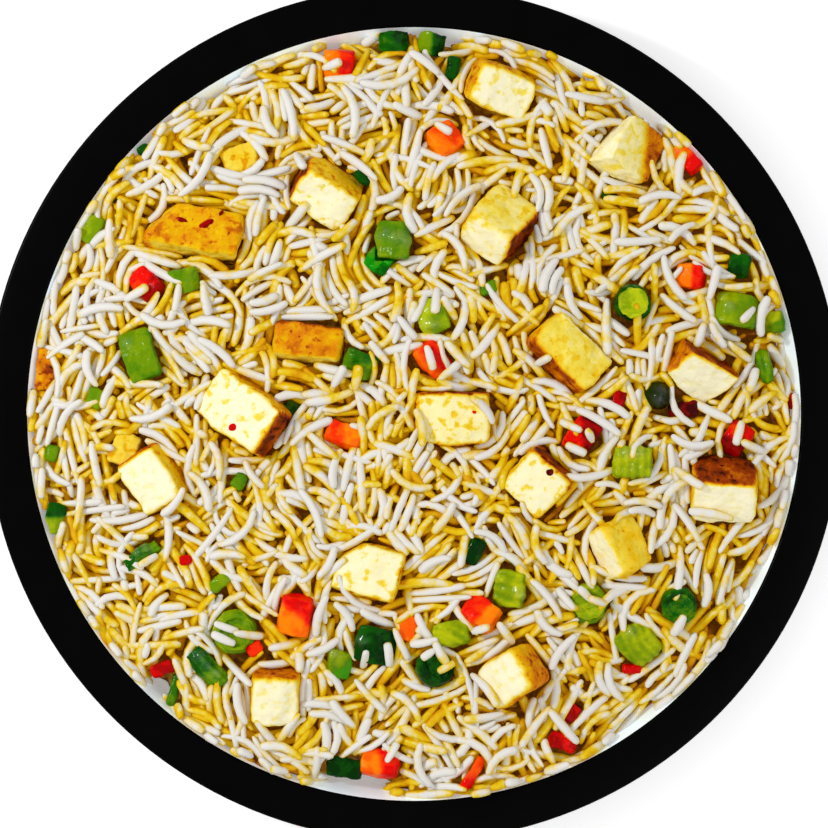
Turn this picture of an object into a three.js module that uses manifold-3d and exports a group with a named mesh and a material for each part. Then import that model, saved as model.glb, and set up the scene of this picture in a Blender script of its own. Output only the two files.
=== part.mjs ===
// Fried rice with cubes of fried paneer, carrot and greens, heaped on a round plate.
// Millimetres, +Z up. The foot ring stands on z = 0 and the plate's axis is the Z axis.

import * as THREE from "three";
import { ImprovedNoise } from "three/addons/math/ImprovedNoise.js";
import { mergeVertices } from "three/addons/utils/BufferGeometryUtils.js";
import Module from "manifold-3d";

const wasm = await Module();
wasm.setup();

// Plate: a flat rim round a steep-sided well
const plateRadius = 130;
const rimWidth = 12.5;
const rimThickness = 4.5;
const rimTop = 26;
const edgeRound = 0.9;
const floorTop = 7.5;
const floorUnderside = 3;
const wallDrop = 8;
const wallInset = 3;
const cornerReach = 18.5;
const footRadius = 78;
const footWidth = 5;
const wallThickness = 4.5;
const turns = 48;
const cornerSteps = 4;

// Rice: its level over the well, and the bumps that its grains make
const riceRimDrop = 1.6;
const riceDome = 8;
const domeFlatness = 2.4;
const riceSwell = 1.3;
const swellLength = 34;
const grainBump = 2.4;
const grainLength = 9;
const grainWidth = 3.2;
const grainSpacing = 4.6;
const gridStep = 6.1;
const gridJitter = 0.45;
const gridMargin = 2;
const wallDipDepth = 7;
const wallDipReach = 9;
// Places where the wall of the well shows: direction in degrees, half width in degrees
const wallDips = [
  [121, 3], [97, 3], [84, 3], [65, 4], [54, 4], [8, 4], [-25, 4], [-54, 4], [-99, 6], [-132, 3],
];

// Shapes of the pieces: how far edges draw in, how rough a cut is, and how rings are made
const cubeSoftness = 0.35;
const cubeRoughness = 0.6;
const diceSoftness = 0.4;
const diceRoughness = 0.45;
const pepperSoftness = 0.3;
const pepperRoughness = 0.35;
const pepperArch = 0.6;
const ringWall = 0.34;
const ringRound = 0.3;
const ringSteps = 12;
const tubeBore = 0.5;
const tubeSteps = 10;
const peaSteps = [10, 7];

const gap = 0.35;
const weld = 1e-4;
const touchReach = 26;
const foodCeiling = 66;
const degree = Math.PI / 180;
const wellRadius = plateRadius - rimWidth;
const noise = new ImprovedNoise();

// Pieces that lie in the rice. Each row is x, y, turn, lean direction, lean angle, rise, then
// length, width and height. x, y is the middle of its top face, which stands rise above the
// rice. The top face leans towards the lean direction. Angles are in degrees.
const paneer = [
  [27.3, 97.2, -24, 306, 17, 5.0, 20.0, 14.2, 14],
  [68.6, 80.6, 62, 2, 40, 6.0, 18.0, 17.6, 15],
  [-27.6, 63.8, -34, 256, 28, 6.0, 20.0, 14.6, 15],
  [27.9, 62.0, -39, 68, 43, 6.5, 17.0, 20.0, 15],
  [-66.6, 57.0, -10, 84, 14, 4.5, 29.5, 14.6, 12],
  [-32.2, 22.5, -6, 95, 10, 4.0, 21.6, 11.7, 12],
  [48.6, 19.2, -45, 20, 18, 5.5, 24.0, 15.2, 14],
  [87.8, 11.2, -45, 265, 40, 5.5, 18.3, 19.2, 14],
  [-53.9, 1.2, -35, 165, 21, 6.0, 25.6, 17.8, 15],
  [11.8, -1.8, 0, 270, 6, 4.0, 23.0, 17.0, 12],
  [-80.6, -20.6, -57, 212, 18, 5.5, 18.8, 15.4, 14],
  [36.4, -21.6, -42, 228, 15, 5.5, 17.0, 16.8, 14],
  [93.7, -27.6, -3, 268, 36, 6.0, 20.2, 16.2, 16],
  [65.3, -38.6, -65, 30, 34, 6.0, 17.6, 14.3, 13],
  [-14.3, -47.1, -15, 150, 7, 4.5, 20.8, 16.4, 14],
  [26.4, -80.5, -58, 200, 34, 6.5, 15.3, 18.1, 14],
  [-42.2, -87.8, -3, 272, 20, 5.5, 15.2, 16.2, 14],
];

const carrots = [
  [-22.7, 105.6, 0, 270, 12, 2.5, 10.4, 9.6, 8],
  [9.9, 84.2, -58, 60, 18, 3.0, 10.8, 10.4, 8],
  [82.6, 78.6, -46, 135, 10, 2.5, 11.4, 7.4, 7],
  [-82.4, 40.2, -45, 150, 25, 2.5, 11.4, 8.8, 8],
  [82.8, 41.8, -5, 180, 20, 2.5, 9.0, 8.6, 8],
  [6.4, 16.4, -50, 340, 15, 2.5, 11.8, 9.2, 8],
  [-20.7, -5.5, -20, 70, 18, 2.5, 12.1, 7.7, 7],
  [-35.8, -61.8, 80, 270, 14, 3.5, 13.2, 10.8, 9],
  [20.0, -58.8, -35, 100, 22, 3.0, 11.9, 9.8, 9],
  [-10.3, -105.2, -8, 95, 14, 2.5, 12.5, 9.4, 8],
];

const redPeppers = [
  [50.7, -7.0, 60, 230, 12, 2.0, 12.4, 9.7, 3.6],
  [97.2, -7.9, 55, 200, 15, 2.5, 11.8, 8.6, 3.6],
  [18.0, -109.6, 58, 330, 20, 2.0, 13.4, 4.2, 3.4],
  [44.9, -99.3, -15, 100, 10, 2.0, 9.7, 6.5, 3.4],
];

const greenPeppers = [
  [-6.2, 112.8, -5, 270, 22, 2.0, 10.3, 8.2, 3.2],
  [5.2, 112.4, -20, 260, 20, 2.0, 9.1, 8.0, 3.2],
  [-6.4, 52.8, -2, 100, 14, 3.0, 10.9, 12.5, 4],
  [-69.9, 40.1, 10, 260, 18, 2.0, 10.4, 8.6, 3.2],
  [-83.5, 18.2, -72, 150, 16, 3.0, 16.8, 11.1, 3.6],
  [5.2, 29.8, -72, 160, 15, 2.5, 11.7, 10.2, 3.6],
  [-16.1, 14.6, -18, 280, 18, 2.0, 11.7, 9.2, 3.2],
  [98.4, 44.9, 76, 200, 15, 2.5, 8.9, 7.5, 3.4],
  [98.1, 31.9, -10, 80, 22, 2.5, 13.4, 11.1, 3.6],
  [106.0, 14.6, -76, 160, 20, 1.5, 11.8, 5.7, 3],
  [-108.8, -31.6, 75, 0, 18, 2.0, 10.4, 6.7, 3],
  [-11.5, -70.5, -12, 270, 15, 2.5, 13.4, 12.6, 3.2],
];

const celery = [
  [-10.9, 46.0, -38, 210, 16, 3.0, 8.9, 8.8, 7],
  [108.0, 27.8, 10, 180, 20, 2.0, 8.4, 7.6, 6],
  [65.9, -14.3, -2, 120, 9, 3.5, 12.8, 10.4, 8],
  [-21.9, -75.9, 80, 0, 14, 2.5, 9.1, 8.1, 6],
  [11.2, -65.9, 10, 100, 12, 2.5, 12.1, 8.4, 6],
  [28.2, -53.1, 83, 190, 10, 3.0, 12.2, 10.2, 7],
  [68.3, -69.2, -50, 60, 10, 3.0, 13.4, 12.3, 6],
];

const onionRings = [
  [67.0, 32.6, 38, 308, 32, 3.0, 11.2, 12.6, 5],
  [-54.1, -66.6, 0, 300, 14, 2.5, 14.1, 14.3, 5],
  [7.3, -76.2, 0, 40, 35, 3.0, 12.2, 11.8, 5],
  [52.8, -58.6, 0, 270, 28, 2.0, 12.1, 13.8, 5],
  [80.5, -58.6, 0, 280, 18, 2.5, 11.6, 12.1, 5],
];

const onionTubes = [
  [-82.3, -43.1, 33, 0, 4, 2.0, 11.6, 4.3, 4.2],
  [-62.6, -77.1, -47, 0, 4, 3.0, 14.0, 6.7, 6.7],
];

const peas = [
  [73.8, 5.5, 0, 0, 0, 3.0, 8.5, 8.5, 8.5],
];

// Small scraps of carrot and greens that are part of the rice: x, y, turn, length, width
const scraps = [
  [-2.1, -64.7, 80, 8, 6], [-76.5, -77.4, 20, 7, 4], [66.2, -77.4, 0, 6, 3],
  [62.0, 4.3, 70, 6, 4], [48.0, -91.1, 60, 6, 4], [-48.3, -71.1, 30, 5, 4],
  [-69.2, -44.3, 10, 4, 3], [-37.1, 1.5, 40, 6, 5], [-52.8, -20.3, 60, 5, 4],
  [18.2, -41.6, 65, 8, 5], [-96.6, 4.9, 70, 6, 5], [-110.0, -11.8, 80, 5, 4],
  [22.5, 38.3, 15, 5, 4], [-15.5, 71.4, -40, 6, 3], [-97.8, 56.2, 55, 9, 5],
  [-21.0, -107.5, -10, 11, 6], [-72.9, -83.8, 75, 10, 3], [11.8, 105.0, 80, 7, 4],
  [-58.9, -51.0, 40, 7, 4], [-82.3, 80.2, 30, 4, 3],
];
const scrapHeight = 5;
const scrapRise = 1.6;

// Repeatable draws between 0 and 1
function drawsFrom(seed) {
  let state = seed;
  return () => {
    state = (state + 0x6d2b79f5) | 0;
    let mixed = Math.imul(state ^ (state >>> 15), 1 | state);
    mixed = (mixed + Math.imul(mixed ^ (mixed >>> 7), 61 | mixed)) ^ mixed;
    return ((mixed ^ (mixed >>> 14)) >>> 0) / 4294967296;
  };
}

function closedSolid(geometry) {
  const bare = geometry.clone();
  bare.deleteAttribute("normal");
  bare.deleteAttribute("uv");
  const merged = mergeVertices(bare, weld);
  const corners = merged.index.array;
  const kept = [];
  for (let i = 0; i < corners.length; i += 3) {
    const [a, b, c] = corners.slice(i, i + 3);
    if (a !== b && b !== c && c !== a) kept.push(a, b, c);
  }
  return new wasm.Manifold(new wasm.Mesh({
    numProp: 3,
    vertProperties: merged.attributes.position.array,
    triVerts: Uint32Array.from(kept),
  }));
}

function solidGeometry(solid) {
  const mesh = solid.getMesh();
  const geometry = new THREE.BufferGeometry();
  geometry.setAttribute("position", new THREE.BufferAttribute(mesh.vertProperties, 3));
  geometry.setIndex(new THREE.BufferAttribute(mesh.triVerts, 1));
  geometry.computeVertexNormals();
  return geometry;
}

// The cut that leaves one body: crumbs that a cut frees are dropped
function largestBody(solid) {
  return solid.decompose().reduce((a, b) => (a.volume() > b.volume() ? a : b));
}

// A closed section of radius and height, turned about Z
function turned(section, steps) {
  const geometry = new THREE.LatheGeometry(section, steps);
  return geometry.rotateX(Math.PI / 2);
}

// Inside of the well from the rim down to the axis, moved in by a clearance
function wellSection(clearance) {
  const wallFoot = wellRadius - wallInset;
  const cornerMiddle = wallFoot - cornerReach;
  const cornerDepth = rimTop - wallDrop - floorTop;
  const section = [];
  for (let i = 0; i <= cornerSteps; i += 1) {
    const angle = (i / cornerSteps) * (Math.PI / 2);
    section.push(new THREE.Vector2(
      cornerMiddle + (cornerReach - clearance) * Math.cos(angle),
      rimTop - wallDrop - (cornerDepth - clearance) * Math.sin(angle),
    ));
  }
  section.push(new THREE.Vector2(0, floorTop + clearance));
  return section;
}

function plateGeometry() {
  const footInner = footRadius - footWidth;
  const wallFoot = wellRadius - wallInset + wallThickness;
  const rimUnderside = rimTop - rimThickness;
  const underReach = wallFoot - footRadius - footWidth;
  const underHeight = rimTop - wallDrop - floorUnderside;
  const section = [
    new THREE.Vector2(0, floorUnderside),
    new THREE.Vector2(footInner - 1, floorUnderside),
    new THREE.Vector2(footInner, 0),
    new THREE.Vector2(footRadius, 0),
    new THREE.Vector2(footRadius + 1, floorUnderside),
  ];
  for (let i = 0; i <= cornerSteps; i += 1) {
    const angle = (i / cornerSteps) * (Math.PI / 2);
    section.push(new THREE.Vector2(
      wallFoot - underReach * (1 - Math.sin(angle)),
      rimTop - wallDrop - underHeight * Math.cos(angle),
    ));
  }
  section.push(
    new THREE.Vector2(wallFoot + 2, rimUnderside),
    new THREE.Vector2(plateRadius - edgeRound, rimUnderside),
    new THREE.Vector2(plateRadius, rimUnderside + edgeRound),
    new THREE.Vector2(plateRadius, rimTop - edgeRound),
    new THREE.Vector2(plateRadius - edgeRound, rimTop),
    new THREE.Vector2(wellRadius + edgeRound / 2, rimTop),
    new THREE.Vector2(wellRadius, rimTop - edgeRound),
    ...wellSection(0),
  );
  return turned(section, turns);
}

// Everything that food may fill: the well, and the room straight above it
function wellSolid() {
  const reach = wellRadius - 3 * gap;
  const section = [
    ...wellSection(gap),
    new THREE.Vector2(0, foodCeiling),
    new THREE.Vector2(reach, foodCeiling),
    new THREE.Vector2(reach, rimTop - edgeRound),
  ];
  section.push(section[0].clone());
  return closedSolid(turned(section.reverse(), turns));
}

// How far the rice draws back from the wall, so that the wall shows there
function wallDip(x, y) {
  const direction = Math.atan2(y, x);
  const nearWall = 1 - (wellRadius - Math.hypot(x, y)) / wallDipReach;
  let dip = 0;
  for (const [middle, halfWidth] of wallDips) {
    const away = Math.abs(Math.sin((direction - middle * degree) / 2)) * 2;
    dip = Math.max(dip, Math.exp(-((away / (halfWidth * degree)) ** 2)));
  }
  return wallDipDepth * dip * THREE.MathUtils.clamp(nearWall, 0, 1);
}

// Level of the rice without its grains: a low dome with swells
function riceLevel(x, y) {
  const share = Math.min(1, Math.hypot(x, y) / wellRadius);
  const swell = noise.noise(x / swellLength, y / swellLength, 0.5) * 2 * riceSwell;
  return rimTop - riceRimDrop + riceDome * (1 - share ** domeFlatness) + swell - wallDip(x, y);
}

// Grains that lie every way: each is a long low bump with its own direction
function grainBumps() {
  const draw = drawsFrom(11);
  const bumps = [];
  for (let x = -wellRadius; x < wellRadius; x += grainSpacing) {
    for (let y = -wellRadius; y < wellRadius; y += grainSpacing) {
      bumps.push({
        x: x + (draw() - 0.5) * grainSpacing,
        y: y + (draw() - 0.5) * grainSpacing,
        along: draw() * Math.PI,
        height: grainBump * (0.4 + 0.6 * draw()),
      });
    }
  }
  return bumps;
}

function bumpHeight(bumps, x, y) {
  let height = 0;
  for (const bump of bumps) {
    const dx = x - bump.x;
    const dy = y - bump.y;
    if (Math.abs(dx) > grainLength || Math.abs(dy) > grainLength) continue;
    const along = dx * Math.cos(bump.along) + dy * Math.sin(bump.along);
    const across = dy * Math.cos(bump.along) - dx * Math.sin(bump.along);
    const fall = 1 - (along / (grainLength / 2)) ** 2 - (across / (grainWidth / 2)) ** 2;
    height = Math.max(height, bump.height * Math.sqrt(Math.max(0, fall)));
  }
  return height;
}

// Block of rice: its top follows the level and the grains, and the well cuts the rest
function riceBlock() {
  const side = 2 * (wellRadius + gridMargin);
  const steps = Math.round(side / gridStep);
  const geometry = new THREE.BoxGeometry(side, side, 2, steps, steps, 1);
  const points = geometry.attributes.position;
  const draw = drawsFrom(5);
  const bumps = grainBumps();
  const moves = new Map();
  for (let i = 0; i < points.count; i += 1) {
    const key = `${points.getX(i).toFixed(2)} ${points.getY(i).toFixed(2)}`;
    const inside = Math.max(Math.abs(points.getX(i)), Math.abs(points.getY(i))) < side / 2 - 0.1;
    if (!moves.has(key)) moves.set(key, [draw() - 0.5, draw() - 0.5]);
    const [moveX, moveY] = inside ? moves.get(key) : [0, 0];
    const x = points.getX(i) + moveX * gridStep * gridJitter;
    const y = points.getY(i) + moveY * gridStep * gridJitter;
    const top = riceLevel(x, y) - grainBump / 2 + bumpHeight(bumps, x, y);
    points.setXYZ(i, x, y, points.getZ(i) > 0 ? top : 0);
  }
  return closedSolid(geometry);
}

// Draws a box's edges and corners in, and roughens it inwards
function softened(geometry, [length, width, height], softness, roughness, seed) {
  const draw = drawsFrom(seed);
  const points = geometry.attributes.position;
  const half = [length / 2, width / 2, height / 2];
  const moves = new Map();
  for (let i = 0; i < points.count; i += 1) {
    const place = [points.getX(i), points.getY(i), points.getZ(i)];
    const key = place.map((value) => value.toFixed(2)).join(" ");
    if (!moves.has(key)) moves.set(key, [draw(), draw(), draw()]);
    const outer = place.filter((value, axis) => Math.abs(value) > half[axis] - 0.01).length;
    const moved = place.map((value, axis) => {
      if (Math.abs(value) < half[axis] - 0.01) return value;
      return value - Math.sign(value) * (softness * (outer - 1) + roughness * moves.get(key)[axis]);
    });
    points.setXYZ(i, ...moved);
  }
  return geometry;
}

function cubeGeometry(size, seed) {
  const geometry = new THREE.BoxGeometry(...size, 3, 3, 3);
  return softened(geometry, size, cubeSoftness, cubeRoughness, seed);
}

function diceGeometry(size, seed) {
  const geometry = new THREE.BoxGeometry(...size, 2, 2, 2);
  return softened(geometry, size, diceSoftness, diceRoughness, seed);
}

// A piece of pepper wall: a thin plate that bends along its length
function pepperGeometry(size, seed) {
  const [length, width, thickness] = size;
  const geometry = new THREE.BoxGeometry(length, width, thickness, 4, 2, 1);
  softened(geometry, size, pepperSoftness, pepperRoughness, seed);
  const points = geometry.attributes.position;
  const arch = thickness * pepperArch;
  for (let i = 0; i < points.count; i += 1) {
    const share = points.getX(i) / (length / 2);
    points.setZ(i, points.getZ(i) - arch * share ** 2 + arch / 2);
  }
  return geometry;
}

// A closed loop of section with its hole along Z
function ringGeometry([length, width, height]) {
  const outer = length / 2;
  const wall = outer * ringWall;
  const half = height / 2;
  const section = [
    new THREE.Vector2(outer - wall, -half),
    new THREE.Vector2(outer - wall * ringRound, -half),
    new THREE.Vector2(outer, 0),
    new THREE.Vector2(outer - wall * ringRound, half),
    new THREE.Vector2(outer - wall, half),
    new THREE.Vector2(outer - wall, -half),
  ];
  return turned(section, ringSteps).scale(1, width / length, 1);
}

// A length of hollow stalk that lies along X
function tubeGeometry([length, width, height]) {
  const outer = height / 2;
  const bore = outer * tubeBore;
  const half = length / 2;
  const section = [
    new THREE.Vector2(bore, -half),
    new THREE.Vector2(outer, -half),
    new THREE.Vector2(outer, half),
    new THREE.Vector2(bore, half),
    new THREE.Vector2(bore, -half),
  ];
  return turned(section, tubeSteps).rotateY(Math.PI / 2).scale(1, width / height, 1);
}

function peaGeometry([length]) {
  return new THREE.SphereGeometry(length / 2, ...peaSteps);
}

// Places a piece so that the middle of its top face is over x, y
function placed(mesh, row) {
  const [x, y, turn, leanDirection, leanAngle, rise, , , height] = row;
  const towards = leanDirection * degree;
  const axis = new THREE.Vector3(-Math.sin(towards), Math.cos(towards), 0);
  const lean = new THREE.Quaternion().setFromAxisAngle(axis, leanAngle * degree);
  const spin = new THREE.Quaternion().setFromAxisAngle(new THREE.Vector3(0, 0, 1), turn * degree);
  mesh.quaternion.copy(lean).multiply(spin);
  const down = new THREE.Vector3(0, 0, -height / 2).applyQuaternion(mesh.quaternion);
  mesh.position.set(x, y, riceLevel(x, y) + rise).add(down);
  mesh.updateMatrixWorld();
}

// Box round a piece with the clearance that touching food keeps, in the frame of the plate
function pocket(piece) {
  piece.geometry.computeBoundingBox();
  const bounds = piece.geometry.boundingBox.clone().expandByScalar(gap);
  const size = bounds.getSize(new THREE.Vector3());
  const middle = bounds.getCenter(new THREE.Vector3());
  const box = new THREE.BoxGeometry(size.x, size.y, size.z).translate(...middle);
  return box.applyMatrix4(piece.matrixWorld);
}

const foodMaterials = {
  paneer: { color: 0xf3e8c4, roughness: 0.55 },
  carrot: { color: 0xf0661a, roughness: 0.4 },
  red_pepper: { color: 0xc31f12, roughness: 0.3 },
  green_pepper: { color: 0x4f8a1e, roughness: 0.35 },
  celery: { color: 0x9db43c, roughness: 0.4 },
  onion_ring: { color: 0x6f9a33, roughness: 0.4 },
  onion_tube: { color: 0x3f9a28, roughness: 0.4 },
  pea: { color: 0x2f5e1c, roughness: 0.4 },
};

function foodPieces() {
  const kinds = [
    ["paneer", paneer, cubeGeometry],
    ["carrot", carrots, diceGeometry],
    ["red_pepper", redPeppers, pepperGeometry],
    ["green_pepper", greenPeppers, pepperGeometry],
    ["celery", celery, diceGeometry],
    ["onion_ring", onionRings, ringGeometry],
    ["onion_tube", onionTubes, tubeGeometry],
    ["pea", peas, peaGeometry],
  ];
  const pieces = [];
  for (const [kind, rows, shape] of kinds) {
    rows.forEach((row, index) => {
      const material = new THREE.MeshStandardMaterial(foodMaterials[kind]);
      const mesh = new THREE.Mesh(shape(row.slice(6), pieces.length + 1), material);
      mesh.name = `${kind}_${String(index + 1).padStart(2, "0")}`;
      placed(mesh, row);
      pieces.push(mesh);
    });
  }
  return pieces;
}

// Where two pieces press on each other the later one gives way, and none enters the wall
function fitTogether(pieces, well) {
  const earlier = [];
  for (const piece of pieces) {
    const toPiece = piece.matrixWorld.clone().invert();
    const own = closedSolid(piece.geometry);
    let solid = own.intersect(closedSolid(solidGeometry(well).applyMatrix4(toPiece)));
    for (const other of earlier) {
      if (other.piece.position.distanceTo(piece.position) > touchReach) continue;
      solid = solid.subtract(closedSolid(other.box.clone().applyMatrix4(toPiece)));
    }
    earlier.push({ piece, box: pocket(piece) });
    if (solid.volume() < own.volume() - 0.01) {
      piece.geometry = solidGeometry(largestBody(solid));
    }
  }
  return earlier.map((entry) => entry.box);
}

function scrapBlock([x, y, turn, length, width]) {
  const box = new THREE.BoxGeometry(length, width, scrapHeight);
  box.rotateZ(turn * degree);
  return box.translate(x, y, riceLevel(x, y) + scrapRise - scrapHeight / 2);
}

function riceGeometry(well, pockets) {
  let rice = riceBlock();
  for (const row of scraps) rice = rice.add(closedSolid(scrapBlock(row)));
  rice = rice.intersect(well);
  for (const box of pockets) rice = rice.subtract(closedSolid(box));
  return solidGeometry(largestBody(rice));
}

function friedRicePlate() {
  const group = new THREE.Group();
  const plate = new THREE.Mesh(
    plateGeometry(),
    new THREE.MeshStandardMaterial({ color: 0x0b0b0c, roughness: 0.25 }),
  );
  plate.name = "plate";
  const well = wellSolid();
  const pieces = foodPieces();
  const pockets = fitTogether(pieces, well);
  const rice = new THREE.Mesh(
    riceGeometry(well, pockets),
    new THREE.MeshStandardMaterial({ color: 0xe2cf8f, roughness: 0.6 }),
  );
  rice.name = "rice";
  group.add(plate, rice, ...pieces);
  return group;
}

export default friedRicePlate();
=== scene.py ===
"""Fried rice with paneer cubes, carrot and greens on a black-rimmed plate, seen from straight above."""

import math

import bpy
import numpy as np
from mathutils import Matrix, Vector
from mathutils.bvhtree import BVHTree


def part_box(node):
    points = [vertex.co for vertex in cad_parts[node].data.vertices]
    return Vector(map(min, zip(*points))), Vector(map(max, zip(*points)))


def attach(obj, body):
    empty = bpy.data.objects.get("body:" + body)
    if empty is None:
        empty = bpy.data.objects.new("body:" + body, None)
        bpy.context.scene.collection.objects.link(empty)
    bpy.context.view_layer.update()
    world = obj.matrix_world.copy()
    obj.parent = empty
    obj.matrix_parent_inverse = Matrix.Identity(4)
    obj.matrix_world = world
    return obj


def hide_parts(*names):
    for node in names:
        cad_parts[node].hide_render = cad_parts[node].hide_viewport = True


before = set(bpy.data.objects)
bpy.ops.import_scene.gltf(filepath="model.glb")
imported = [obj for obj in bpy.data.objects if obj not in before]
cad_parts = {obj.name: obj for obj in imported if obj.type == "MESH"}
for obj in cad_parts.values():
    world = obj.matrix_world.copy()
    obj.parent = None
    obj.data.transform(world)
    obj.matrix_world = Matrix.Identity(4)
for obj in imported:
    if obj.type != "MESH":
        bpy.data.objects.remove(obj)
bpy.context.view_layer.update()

MM = 0.001
plate_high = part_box("plate")[1]
PLATE_RADIUS = plate_high.x
RIM_TOP = plate_high.z
RIM_WIDTH = 12.5 * MM
RIM_THICKNESS = 4.5 * MM
EDGE_ROUND = 0.9 * MM
FLOOR_TOP = 7.5 * MM
FLOOR_UNDERSIDE = 3 * MM
WALL_DROP = 8 * MM
WALL_INSET = 3 * MM
WALL_THICKNESS = 4.5 * MM
CORNER_REACH = 18.5 * MM
FOOT_RADIUS = 78 * MM
FOOT_WIDTH = 5 * MM
FOOT_SLOPE = 1 * MM
WALL_FLARE = 2 * MM
WELL_RADIUS = PLATE_RADIUS - RIM_WIDTH
PLATE_STEPS = 180
CORNER_STEPS = 10
EDGE_STEPS = 4

# Heap of grains: seeds, counts, shares, headings of the dips in degrees, and sizes in millimetres
HEAP_SEED = 2024
GRAIN_SEED = 77
GRAIN_COUNT = 6400
BROKEN_COUNT = 600
WALL_GRAINS = 500
STREWN = 700
BUNDLE_SHARE = 0.55
GRAIN_WIDTH = 2.9
GRAIN_LAYER = 6.5
GRAIN_RISE = 0.6
WELL = WELL_RADIUS / MM
WALL_ROOM = 0.7
WALL_SINK = 1.2
WALL_DIPS = [121, 97, 84, 65, 54, 8, -25, -54, -99, -132]
DIP_HALF_WIDTH = 2.0
CELL = 0.5
HEAP_REACH = 119.0
NOTHING = -100.0
TOPPING_MARGIN = 1.5
LEVEL_BLUR = 4.0
PIXEL = 0.3037
MIDDLE_PIXEL = 414
CORE_FACE = 1.6
CORE_LEAST = 1.0
# Tones of the grains: heights that the depth runs over, for the painted shade that darkens and yellows
# grains lower in the heap, how much darker that painted shade is to the right and how far out, the power
# that makes dark grains rare, and the tone left to those strewn on top
DEPTH_START = 1.0
DEPTH_RANGE = 8.0
DARKER_RIGHT = 0.16
DARKER_REACH = 90
TONE_POWER = 1.4
TONE_ON_TOP = 0.5
# The mesh of a grain
GRAIN_SIDES = 6
GRAIN_SECTIONS = [
    (-0.485, 0.46), (-0.42, 0.8), (-0.22, 0.97), (0.0, 1.0), (0.22, 0.97), (0.42, 0.83), (0.485, 0.52),
]
GRAINS_A_PIECE = 2200


def spot(column, row):
    """Place in millimetres of a pixel of the photograph."""
    return (column - MIDDLE_PIXEL) * PIXEL, (MIDDLE_PIXEL - row) * PIXEL


def srgb(red, green, blue):
    """An sRGB colour as the linear colour that a shader takes."""
    shares = [channel / 255 for channel in (red, green, blue)]
    linear = [share / 12.92 if share < 0.0392 else ((share + 0.055) / 1.055) ** 2.4 for share in shares]
    return (*linear, 1.0)


def stops(*rows):
    """Stops of a colour ramp from rows of position, red, green and blue."""
    return [(position, srgb(*colour)) for position, *colour in rows]


# Modelling


def select_only(piece):
    if bpy.context.object and bpy.context.object.mode != "OBJECT":
        bpy.ops.object.mode_set(mode="OBJECT")
    bpy.ops.object.select_all(action="DESELECT")
    piece.select_set(True)
    bpy.context.view_layer.objects.active = piece


def edit(piece):
    select_only(piece)
    bpy.ops.object.mode_set(mode="EDIT")
    bpy.ops.mesh.select_all(action="SELECT")


def done(piece):
    bpy.ops.object.mode_set(mode="OBJECT")
    return piece


def modify(piece, kind, **settings):
    """Adds a modifier with its settings and applies it."""
    select_only(piece)
    modifier = piece.modifiers.new(kind.title(), kind)
    for key, value in settings.items():
        setattr(modifier, key, value)
    bpy.ops.object.modifier_apply(modifier=modifier.name)
    return piece


def linked(name, data):
    """A new object in the scene."""
    thing = bpy.data.objects.new(name, data)
    bpy.context.scene.collection.objects.link(thing)
    return thing


def added(name, operator, place, **settings):
    """A new object from the operator of one of Blender's own shapes."""
    bpy.ops.object.select_all(action="DESELECT")
    operator(location=place, **settings)
    piece = bpy.context.object
    piece.name = name
    return piece


def sized(piece, scale, turn):
    """Scales a new piece, turns it about the Z axis, and applies both and its place."""
    piece.scale = scale
    piece.rotation_euler = (0, 0, math.radians(turn))
    bpy.ops.object.transform_apply(location=True, rotation=True, scale=True)


def merged_copy(node, name):
    """A new piece with a CAD node's shape, its loose triangles welded and joined to quads."""
    piece = linked(name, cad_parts[node].data.copy())
    piece.data.materials.clear()
    edit(piece)
    bpy.ops.mesh.remove_doubles(threshold=0.01 * MM)
    bpy.ops.mesh.tris_convert_to_quads(face_threshold=math.radians(30), shape_threshold=math.radians(60))
    bpy.ops.mesh.normals_make_consistent(inside=False)
    return done(piece)


def remeshed(piece, face_size, rounds):
    """Rebuilds a piece from even faces and smooths it some rounds."""
    modify(piece, "REMESH", mode="VOXEL", voxel_size=face_size)
    return modify(piece, "SMOOTH", factor=0.5, iterations=rounds)


def roughen(piece, size, height):
    """Pushes the surface in and out, in lumps of the given size and height."""
    texture = bpy.data.textures.new(f"{piece.name}_relief", "CLOUDS")
    texture.noise_scale = size
    return modify(piece, "DISPLACE", texture=texture, texture_coords="GLOBAL", strength=height)


def smooth(piece):
    select_only(piece)
    bpy.ops.object.shade_smooth()
    return piece


def joined(pieces, name):
    """Several pieces as one smooth piece."""
    select_only(pieces[0])
    for piece in pieces:
        piece.select_set(True)
    bpy.ops.object.join()
    whole = smooth(bpy.context.object)
    whole.name = name
    return whole


def finish_piece(piece, material, slot, *nodes):
    piece.data.materials.clear()
    piece.data.materials.append(material)
    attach(piece, "root")
    if nodes:
        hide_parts(*nodes)
    return piece


def spun(name, section, steps):
    """A section of radius and height, extruded point by point and spun round the Z axis."""
    piece = added(name, bpy.ops.mesh.primitive_plane_add, (0, 0, 0), size=MM)
    edit(piece)
    bpy.ops.mesh.merge(type="CENTER")
    first = section[0]
    bpy.ops.transform.translate(value=(first[0], 0, first[1]))
    for before, after in zip(section, section[1:]):
        step = (after[0] - before[0], 0, after[1] - before[1])
        bpy.ops.mesh.extrude_region_move(TRANSFORM_OT_translate={"value": step})
    bpy.ops.mesh.select_all(action="SELECT")
    bpy.ops.mesh.spin(steps=steps, angle=2 * math.pi, center=(0, 0, 0), axis=(0, 0, 1))
    bpy.ops.mesh.select_all(action="SELECT")
    bpy.ops.mesh.remove_doubles(threshold=0.005 * MM)
    bpy.ops.mesh.normals_make_consistent(inside=False)
    return done(piece)


def quarter(middle, reach, start, steps):
    """Points of a quarter turn round middle, with its own reach in radius and in height."""
    points = []
    for i in range(steps + 1):
        angle = start + math.pi / 2 * i / steps
        points.append((middle[0] + reach[0] * math.cos(angle), middle[1] + reach[1] * math.sin(angle)))
    return points


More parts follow.
